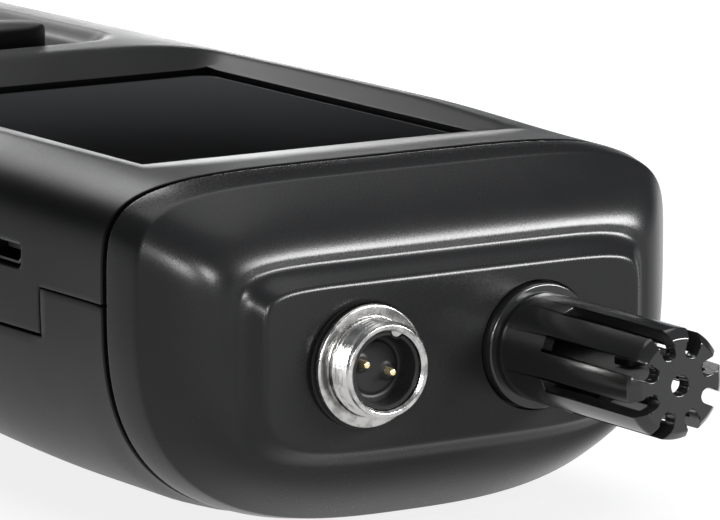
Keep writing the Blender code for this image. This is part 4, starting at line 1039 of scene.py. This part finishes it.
class Surface:
    """A Principled material whose pattern reads Object coordinates. Each method adds its nodes."""

    def __init__(self, name, tint, roughness, metallic=0.0, **sockets):
        self.material = bpy.data.materials.new(name)
        self.material.use_nodes = True
        self.tree = self.material.node_tree
        self.shader = self.tree.nodes["Principled BSDF"]
        self.tint = tuple(tint)
        sockets |= {"Base Color": (*tint, 1), "Roughness": roughness, "Metallic": metallic}
        for socket, value in sockets.items():
            self.shader.inputs[socket].default_value = value
        self.places = self.add("ShaderNodeTexCoord").outputs["Object"]

    def feed(self, value, socket):
        if isinstance(value, bpy.types.NodeSocket):
            self.tree.links.new(value, socket)
        else:
            socket.default_value = value

    def add(self, kind, **links):
        """A node with its inputs linked or set. A key names the input, with _ for a space."""
        node = self.tree.nodes.new(kind)
        for key, value in links.items():
            self.feed(value, node.inputs[key.replace("_", " ")])
        return node

    def math(self, operation, *values):
        node = self.add("ShaderNodeMath")
        node.operation = operation
        for socket, value in zip(node.inputs, values):
            self.feed(value, socket)
        return node.outputs[0]

    def mixed(self, first, second, share):
        """The first times its share plus the second times the rest."""
        parts = (self.math("MULTIPLY", first, share), self.math("MULTIPLY", second, 1 - share))
        return self.math("ADD", *parts)

    def stretched(self, scale, location=(0, 0, 0), rotation=(0, 0, 0)):
        places = {"Scale": scale, "Location": location, "Rotation": rotation}
        return self.add("ShaderNodeMapping", Vector=self.places, **places).outputs[0]

    def noise(self, scale, detail=3.0, places=None):
        places = places or self.places
        return self.add("ShaderNodeTexNoise", Vector=places, Scale=scale, Detail=detail).outputs[0]

    def between(self, factor, low, high, first, last):
        ends = {"From_Min": low, "From_Max": high, "To_Min": first, "To_Max": last}
        return self.add("ShaderNodeMapRange", Value=factor, **ends).outputs[0]

    def colours(self, factor, *stops):
        """Base colour along a ramp of (place, colour) stops."""
        ramp = self.add("ShaderNodeValToRGB", Fac=factor)
        elements = ramp.color_ramp.elements
        while len(elements) < len(stops):
            elements.new(0.5)
        for element, (place, tint) in zip(elements, stops):
            element.position = place
            element.color = (*tint, 1)
        self.tree.links.new(ramp.outputs[0], self.shader.inputs["Base Color"])

    def mottled(self, factor, spread):
        """The tint, darker and lighter by a share."""
        dark, light = (scaled(self.tint, share) for share in (1 - spread, 1 + spread))
        self.colours(factor, (0.3, dark), (0.7, light))

    def shine(self, factor, low, high):
        self.feed(self.between(factor, 0.3, 0.7, low, high), self.shader.inputs["Roughness"])

    def relief(self, height, distance):
        bump = self.add("ShaderNodeBump", Height=height, Distance=distance, Strength=1.0)
        normal = self.shader.inputs["Normal"]
        if normal.links:
            self.tree.links.new(normal.links[0].from_socket, bump.inputs["Normal"])
        self.tree.links.new(bump.outputs[0], normal)

    def turning_marks(self, axis, scale, distance):
        """Rings of noise round an axis through (x, z): noise over radius and depth alone."""
        flat = self.stretched((1, 0, 1), (-axis[0], 0, -axis[2]))
        radius = self.add("ShaderNodeVectorMath")
        radius.operation = "LENGTH"
        self.tree.links.new(flat, radius.inputs[0])
        depth = self.add("ShaderNodeSeparateXYZ", Vector=self.places).outputs[1]
        rings = self.add("ShaderNodeCombineXYZ", X=radius.outputs["Value"], Y=depth).outputs[0]
        marks = self.noise(scale, 4.0, rings)
        self.relief(marks, distance)
        return marks


def scaled(tint, share):
    return tuple(part * share for part in tint)


def moulded(name, tint, roughness, grain=0.000012, **sockets):
    """Moulded plastic: spark grain about 0.3 mm across, faint flow waves, cloudy gloss and dust."""
    surface = Surface(name, tint, roughness, **sockets)
    cloud = surface.noise(45, 4)
    fine = surface.noise(3400, 2)
    surface.mottled(cloud, 0.10)
    surface.shine(surface.mixed(cloud, fine, 0.6), roughness * 0.88, roughness * 1.14)
    surface.relief(surface.noise(70, 2), 0.00004)
    surface.relief(fine, grain)
    return surface


def case_plastic(finishes):
    return moulded("case_plastic", finishes.case, 0.38, **{GLOSS: 0.2})


def cap_plastic(finishes):
    return moulded("cap_plastic", finishes.cap, 0.27, 0.000006, **{GLOSS: 0.22})


def cage_plastic(finishes):
    surface = moulded("cage_plastic", finishes.cage, 0.17, grain=0.000003, IOR=1.5)
    surface.relief(surface.noise(420, 2, surface.stretched((1, 0.12, 1))), 0.00001)
    return surface


def insert_plastic(finishes):
    return moulded("insert_plastic", finishes.cage, 0.42, 0.000010, **{GLOSS: 0.18})


def black_glass(finishes):
    """Hard-coated glass: near black, with faint wiping marks in its gloss."""
    surface = Surface("black_glass", finishes.glass, 0.06, IOR=1.45)
    wiped = surface.noise(38, 5, surface.stretched((1, 0.35, 1), rotation=(0, 0, 0.5)))
    surface.shine(wiped, 0.02, 0.05)
    surface.mottled(surface.noise(9, 2), 0.2)
    surface.relief(surface.noise(25, 1), 0.000004)
    return surface


def key_rubber(finishes):
    surface = moulded("key_rubber", finishes.rubber, 0.5, 0.000018, **{GLOSS: 0.3})
    surface.relief(surface.noise(1300, 3), 0.000010)
    return surface


def seal_rubber(finishes):
    surface = moulded("seal_rubber", finishes.rubber, 0.75, grain=0.000020)
    surface.relief(surface.noise(240, 3), 0.00002)
    return surface


def plated_nickel(finishes):
    """Nickel plate over turned brass: turning marks round the socket's axis, small scratches and
    dull spots."""
    surface = Surface("plated_nickel", finishes.nickel, 0.2, 1.0)
    socket = bpy.context.scene.meter_socket
    axis = ORIGIN + (socket.x, -PLATFORM_FACE, socket.z)
    marks = surface.turning_marks(axis, 5200, 0.000006)
    scratches = surface.noise(900, 6, surface.stretched((1, 0.2, 1), rotation=(0.4, 0.2, 0.9)))
    surface.relief(scratches, 0.000012)
    surface.relief(surface.noise(1800, 3), 0.000008)
    surface.shine(surface.mixed(marks, scratches, 0.5), 0.10, 0.36)
    dark, light = (scaled(finishes.nickel, share) for share in (0.62, 1.08))
    surface.colours(surface.noise(650, 4), (0.36, dark), (0.5, surface.tint), (0.72, light))
    return surface


def flecked(surface, pattern, spread, low, high, depth):
    """One pattern in the colour, the gloss and the relief."""
    surface.mottled(pattern, spread)
    surface.shine(pattern, low, high)
    surface.relief(pattern, depth)
    return surface


def machine_steel(finishes):
    surface = Surface("machine_steel", finishes.steel, 0.34, 1.0)
    brushed = surface.noise(500, 4, surface.stretched((1, 6, 1)))
    return flecked(surface, brushed, 0.16, 0.24, 0.46, 0.000008)


def port_metal(finishes):
    """Tinned sheet, dulled: the steel's tint at a fifth, with rolling marks."""
    surface = Surface("port_metal", scaled(finishes.steel, 0.2), 0.4, 1.0)
    rolled = surface.noise(700, 4, surface.stretched((5, 1, 1)))
    return flecked(surface, rolled, 0.18, 0.32, 0.5, 0.000006)


def contact_gold(finishes):
    surface = Surface("contact_gold", finishes.gold, 0.16, 1.0)
    return flecked(surface, surface.noise(2400, 3), 0.12, 0.10, 0.26, 0.000004)


def circuit_board(finishes):
    """Solder mask over copper: blocky cells make tracks, and their rims pads and vias."""
    surface = Surface("circuit_board", finishes.board, 0.38, IOR=1.5)
    cells = surface.add("ShaderNodeTexVoronoi", Vector=surface.places, Scale=430.0)
    cells.distance = "CHEBYCHEV"
    copper, bright = scaled(finishes.board, 1.9), (0.62, 0.52, 0.30)
    stops = ((0.0, bright), (0.10, copper), (0.34, surface.tint), (0.62, copper))
    surface.colours(cells.outputs["Distance"], *stops)
    surface.relief(cells.outputs["Distance"], 0.00004)
    surface.shine(surface.noise(220, 3), 0.30, 0.46)
    return surface


def sensor_ceramic(finishes):
    """Pale fired ceramic: speckled, with a faint waviness."""
    surface = Surface("sensor_ceramic", finishes.ceramic, 0.45, IOR=1.5)
    speckle = surface.noise(2600, 4)
    surface.mottled(speckle, 0.10)
    surface.shine(speckle, 0.38, 0.54)
    surface.relief(surface.noise(600, 3), 0.000015)
    return surface


def cell_wrap(finishes):
    surface = Surface("cell_wrap", finishes.cell, 0.3, 0.6)
    creases = surface.noise(160, 4, surface.stretched((1, 0.25, 1)))
    return flecked(surface, creases, 0.12, 0.22, 0.42, 0.0001)


def flat_cable(finishes):
    """Amber film over side-by-side conductors: a sine across the cable."""
    surface = Surface("flat_cable", finishes.ribbon, 0.3, IOR=1.6)
    stripes = surface.add("ShaderNodeTexWave", Vector=surface.places, Scale=300.0, Distortion=0.0)
    dark = scaled(finishes.ribbon, 0.55)
    surface.colours(stripes.outputs["Fac"], (0.35, dark), (0.65, surface.tint))
    surface.relief(stripes.outputs["Fac"], 0.00002)
    surface.shine(surface.noise(150, 2), 0.24, 0.38)
    return surface


def wire_jacket(finishes):
    surface = Surface("wire_jacket", finishes.wire, 0.42, IOR=1.5)
    surface.mottled(surface.noise(300, 3), 0.15)
    surface.shine(surface.noise(900, 2), 0.34, 0.5)
    surface.relief(surface.noise(1500, 2), 0.000012)
    return surface


def made_material(maker):
    """The maker's material, made the first time."""
    found = bpy.data.materials.get(maker.__name__)
    return found or maker(bpy.context.scene.meter_finishes).material


FRAME_FINISHES = {
    seal_rubber: ("end_cap_seal", "keypad_mat"),
    case_plastic: ("display_frame", "usb_tongue"),
    circuit_board: ("keypad_board", "main_board"),
    sensor_ceramic: ("sensor_board",),
    flat_cable: ("display_ribbon",),
    cell_wrap: ("battery",),
    wire_jacket: ("battery_lead", "connector_lead", "sensor_lead"),
    insert_plastic: ("sensor_chip",),
    port_metal: ("usb_socket",),
    machine_steel: (
        "display_module",
        "connector_nut",
        "sensor_nut",
        *(f"{kind}_screw_{number}" for kind in ("board", "case") for number in range(1, 5)),
    ),
}


# ---------------------------------------------------------------- operators


class MakeUpperShell(bpy.types.Operator):
    """Make the upper shell with its display tray, keypad tray, key holes and USB mouth"""

    bl_idname = "meter.upper_shell"
    bl_label = "Upper Shell"

    def execute(self, context):
        scene = context.scene
        body, top, keys = scene.meter_body, scene.meter_top, scene.meter_keys
        shell = upper_shell(body, top)
        outlines = key_outlines(top, keys).values()
        holes = [key_hole(outline, keys.gap, top.keypad_floor) for outline in outlines]
        cut(shell, joined("holes", *holes))
        port_low, port_high = (np.array(corner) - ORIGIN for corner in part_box("usb_socket"))
        half = (port_high - port_low) / 2 + (0, PORT_ROOM, FIT)
        sides = (-half[1], half[1], -half[2], half[2])
        mouth = outline_box(*sides, [half[2] / 2] * 4) + (port_low + port_high)[1:] / 2
        cut(shell, carried("mouth", mouth, *PORT_MOUTH, axis=0), soften=0.0002)
        even_shading(shell)
        finish_piece(shell, "case_black", case_plastic, "upper_shell")
        return {"FINISHED"}


class MakeLowerShell(bpy.types.Operator):
    """Make the lower shell with its notch, screw sinks and bosses"""

    bl_idname = "meter.lower_shell"
    bl_label = "Lower Shell"

    def execute(self, context):
        body = context.scene.meter_body
        shell = lower_shell(body)
        t = circle(40)[0]
        ring = SCREW_HEAD_RADIUS * np.stack([np.cos(t), np.sin(t)], -1)
        places = screw_places(body)
        sinks = [carried("hole", ring + place, BELOW_CASE, SCREW_HEAD_SEAT) for place in places]
        cut(shell, joined("sinks", *sinks), soften=0.0003)
        finish_piece(shell, "case_black", case_plastic, "lower_shell")
        bosses = joined("case_bosses", *(case_boss(body, x, y) for x, y in places))
        smooth(bosses.data)
        finish_piece(bosses, "case_black", case_plastic)
        return {"FINISHED"}


class MakeEndCap(bpy.types.Operator):
    """Make the end cap with its pillow face and its platform for the fittings"""

    bl_idname = "meter.end_cap"
    bl_label = "End Cap"

    def execute(self, context):
        scene = context.scene
        socket, sensor = scene.meter_socket, scene.meter_sensor
        cap = end_cap(scene.meter_body, scene.meter_cap)
        socket_at = (socket.x, -PLATFORM_FACE, socket.z)
        sensor_at = (sensor.x, -PLATFORM_FACE, sensor.z)
        holes = (
            (socket.thread + FIT, DRILL_DEPTH, socket_at),
            (sensor.neck + FIT, DRILL_DEPTH, sensor_at),
            (sensor.collar + sensor.sink_margin, sensor.sink, sensor_at),
        )
        for radius, depth, place in holes:
            rim = [(radius + wider, height) for wider, height in flare(0.00010)]
            profile = [(0, -depth), (radius, -depth), *rim, (rim[-1][0], 0.01), (0, 0.01)]
            cut(cap, turned("drill", profile, place))
        even_shading(cap)
        finish_piece(cap, "cap_black", cap_plastic, "end_cap")
        return {"FINISHED"}


class MakeDisplay(bpy.types.Operator):
    """Make the display's black window"""

    bl_idname = "meter.display"
    bl_label = "Display Window"

    def execute(self, context):
        finish_piece(window_glass(), "window_black", black_glass, "display_window")
        return {"FINISHED"}


class MakeKeys(bpy.types.Operator):
    """Make the keys with their domed tops"""

    bl_idname = "meter.keys"
    bl_label = "Keys"

    def execute(self, context):
        scene = context.scene
        body, top, keys = scene.meter_body, scene.meter_top, scene.meter_keys
        for name, outline in key_outlines(top, keys).items():
            key = key_cap(name, outline, top, body, keys)
            finish_piece(key, "rubber_black", key_rubber, name, body=name)
        return {"FINISHED"}


class MakeProbeSocket(bpy.types.Operator):
    """Make the threaded socket, its washer, insert and contact pins"""

    bl_idname = "meter.probe_socket"
    bl_label = "Probe Socket"

    def execute(self, context):
        socket = context.scene.meter_socket
        finish_piece(socket_shell(socket), "nickel", plated_nickel, "connector_shell")
        finish_piece(socket_insert(socket), "insert_black", insert_plastic, "connector_insert")
        for side, node in ((-1, "connector_pin_left"), (1, "connector_pin_right")):
            pin = contact_pin(socket, side)
            pin.name = f"{node}_form"
            finish_piece(pin, "contact_gold", contact_gold, node)
        inner, outer = socket.thread + FIT, socket.flange + FIT
        low, high = WASHER_FACES
        ring = rounded([(outer, high), (outer, low), (inner, low), (inner, high)], 0.00014, 3, True)
        place = (socket.x, -PLATFORM_FACE, socket.z)
        washer = turned("socket_washer", ring, place, closed=True)
        finish_piece(washer, "rubber_black", seal_rubber, "connector_washer")
        return {"FINISHED"}


class MakeAirSensor(bpy.types.Operator):
    """Make the air sensor's collar and its slotted cage"""

    bl_idname = "meter.air_sensor"
    bl_label = "Air Sensor"

    def execute(self, context):
        sensor = context.scene.meter_sensor
        place = (sensor.x, -PLATFORM_FACE, sensor.z)
        collar = sensor_collar(sensor, place)
        finish_piece(collar, "insert_black", cage_plastic, "sensor_collar")
        cage = sensor_cage(sensor, place)
        cut(cage, cage_slots(sensor, place), soften=0.0001)
        even_shading(cage)
        finish_piece(cage, "insert_black", cage_plastic, "sensor_cage")
        return {"FINISHED"}


class FinishFrame(bpy.types.Operator):
    """Give the pieces that stay as the CAD made them their materials"""

    bl_idname = "meter.finish_frame"
    bl_label = "Inner Parts"

    def execute(self, context):
        for maker, names in FRAME_FINISHES.items():
            material = made_material(maker)
            for name in names:
                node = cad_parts[name]
                for slot in node.material_slots:
                    slot.material = material
                if not node.material_slots:
                    node.data.materials.append(material)
        return {"FINISHED"}


def softbox(name, toward, distance, size, power):
    """A rectangular light seen from the meter along toward, facing it."""
    light = bpy.data.lights.new(name, "AREA")
    light.shape = "RECTANGLE"
    light.size, light.size_y = size
    light.energy = power
    lamp = placed(name, light)
    way = np.array(toward, float) / np.linalg.norm(toward)
    lamp.location = way * distance + (0, 0, 0.03)
    lamp.rotation_mode = "QUATERNION"
    lamp.rotation_quaternion = lamp.location.normalized().to_track_quat("Z", "Y")
    return lamp


class MakeStudio(bpy.types.Operator):
    """Make the floor, the lights, the sky and the camera"""

    bl_idname = "meter.studio"
    bl_label = "Studio"

    def execute(self, context):
        scene = context.scene
        studio = scene.meter_studio
        across = np.linspace(-1, 1, 9) * studio.floor_size
        x, y = np.meshgrid(across, across)
        points = np.stack([x, y, np.zeros_like(x)], -1)
        mesh = bpy.data.meshes.new("floor")
        quads = quads_of(numbered(points)).reshape(-1, 4)
        mesh.from_pydata(points.reshape(-1, 3).tolist(), [], quads.tolist())
        floor = placed("floor", mesh)
        paper = Surface("floor_paper", studio.floor, 0.85)
        paper.mottled(paper.noise(3, 2), 0.01)
        # Painted light: the floor glows white, which keeps it white and fills in the meter's cast
        # shadow. The glow is weaker to the meter's left, a painted shade that darkens what the
        # meter's left side reflects.
        paper.shader.inputs["Emission Color"].default_value = (1, 1, 1, 1)
        split = paper.add("ShaderNodeSeparateXYZ", Vector=paper.places).outputs
        along = (paper.math("MULTIPLY", split[0], 0.84), paper.math("MULTIPLY", split[1], -0.54))
        painted_floor_glow = paper.between(paper.math("ADD", *along), -0.16, -0.06, 0.55, 0.84)
        paper.tree.links.new(painted_floor_glow, paper.shader.inputs["Emission Strength"])
        mesh.materials.append(paper.material)
        make_sky(studio)
        softbox("back_softbox", (0.34, 0.94, 0.05), 2.5, (1.4, 0.28), 10)
        softbox("rear_softbox", (0.23, 0.87, 0.44), 1.3, (0.40, 0.36), 2.6)
        # The next three light only the end cap and its fittings, the pieces in front_end.
        front_end = bpy.data.collections.new("front_end")
        for lamp in (
            softbox("right_softbox", (0.53, -0.65, 0.38), 1.3, (0.8, 0.30), 46),
            softbox("front_softbox", (-0.52, -0.80, 0.30), 1.2, (0.20, 0.24), 9),
            softbox("left_softbox", (-0.80, -0.55, 0.22), 1.1, (0.14, 0.18), 5),
        ):
            lamp.light_linking.receiver_collection = front_end
        softbox("overhead_softbox", (0.1, 0.25, 1.0), 1.6, (1.6, 1.6), 14)
        make_camera(studio)
        scene.view_settings.view_transform = "Standard"
        return {"FINISHED"}


def make_sky(studio):
    """Sky that is pale at the horizon, dark a little above it, and pale overhead."""
    world = bpy.data.worlds.new("sky")
    world.use_nodes = True
    tree = world.node_tree
    background = tree.nodes["Background"]
    places = tree.nodes.new("ShaderNodeTexCoord")
    split = tree.nodes.new("ShaderNodeSeparateXYZ")
    ramp = tree.nodes.new("ShaderNodeValToRGB")
    tree.links.new(places.outputs["Generated"], split.inputs[0])
    tree.links.new(split.outputs[2], ramp.inputs[0])
    tree.links.new(ramp.outputs[0], background.inputs[0])
    elements = ramp.color_ramp.elements
    for _ in range(4):
        elements.new(0.5)
    stops = ((0.0, 0.55), (0.115, 0.45), (0.142, 0.17), (0.160, 0.008), (0.45, 0.06), (1.0, 0.25))
    for element, (place, level) in zip(elements, stops):
        element.position = place
        element.color = (*(level * c for c in studio.sky), 1)
    bpy.context.scene.world = world


def make_camera(studio):
    """A long lens on a 36 mm frame. It looks along (sin a cos p, cos a cos p, -sin p)."""
    data = bpy.data.cameras.new("camera")
    data.lens = studio.lens
    data.sensor_width = 36
    data.clip_start, data.clip_end = 0.05, 60
    camera = placed("camera", data)
    camera.location = studio.camera
    camera.rotation_euler = (math.pi / 2 - studio.pitch, studio.roll, -studio.azimuth)
    bpy.context.scene.camera = camera


OPERATORS = (
    MakeStudio,
    MakeUpperShell,
    MakeLowerShell,
    MakeEndCap,
    MakeDisplay,
    MakeKeys,
    MakeProbeSocket,
    MakeAirSensor,
    FinishFrame,
)

GROUPS = {
    "meter_body": BodySizes,
    "meter_top": TopSizes,
    "meter_cap": CapSizes,
    "meter_socket": SocketSizes,
    "meter_sensor": SensorSizes,
    "meter_keys": KeySizes,
    "meter_finishes": Finishes,
    "meter_studio": StudioSettings,
}


class MeterPanel(bpy.types.Panel):
    """Lists the operators that build the meter's looks"""

    bl_idname = "VIEW3D_PT_meter"
    bl_label = "Weather Meter"
    bl_space_type = "VIEW_3D"
    bl_region_type = "UI"
    bl_category = "Meter"

    def draw(self, context):
        for operator in OPERATORS:
            self.layout.operator(operator.bl_idname)


def register():
    for group in (*GROUPS.values(), *OPERATORS, MeterPanel):
        bpy.utils.register_class(group)
    for name, group in GROUPS.items():
        setattr(bpy.types.Scene, name, bpy.props.PointerProperty(type=group))


def unregister():
    for name in GROUPS:
        delattr(bpy.types.Scene, name)
    for group in (MeterPanel, *reversed(OPERATORS), *reversed(GROUPS.values())):
        bpy.utils.unregister_class(group)


def main():
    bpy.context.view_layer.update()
    register()
    for operator in OPERATORS:
        family, action = operator.bl_idname.split(".")
        getattr(getattr(bpy.ops, family), action)()


if __name__ == "__main__":
    main()
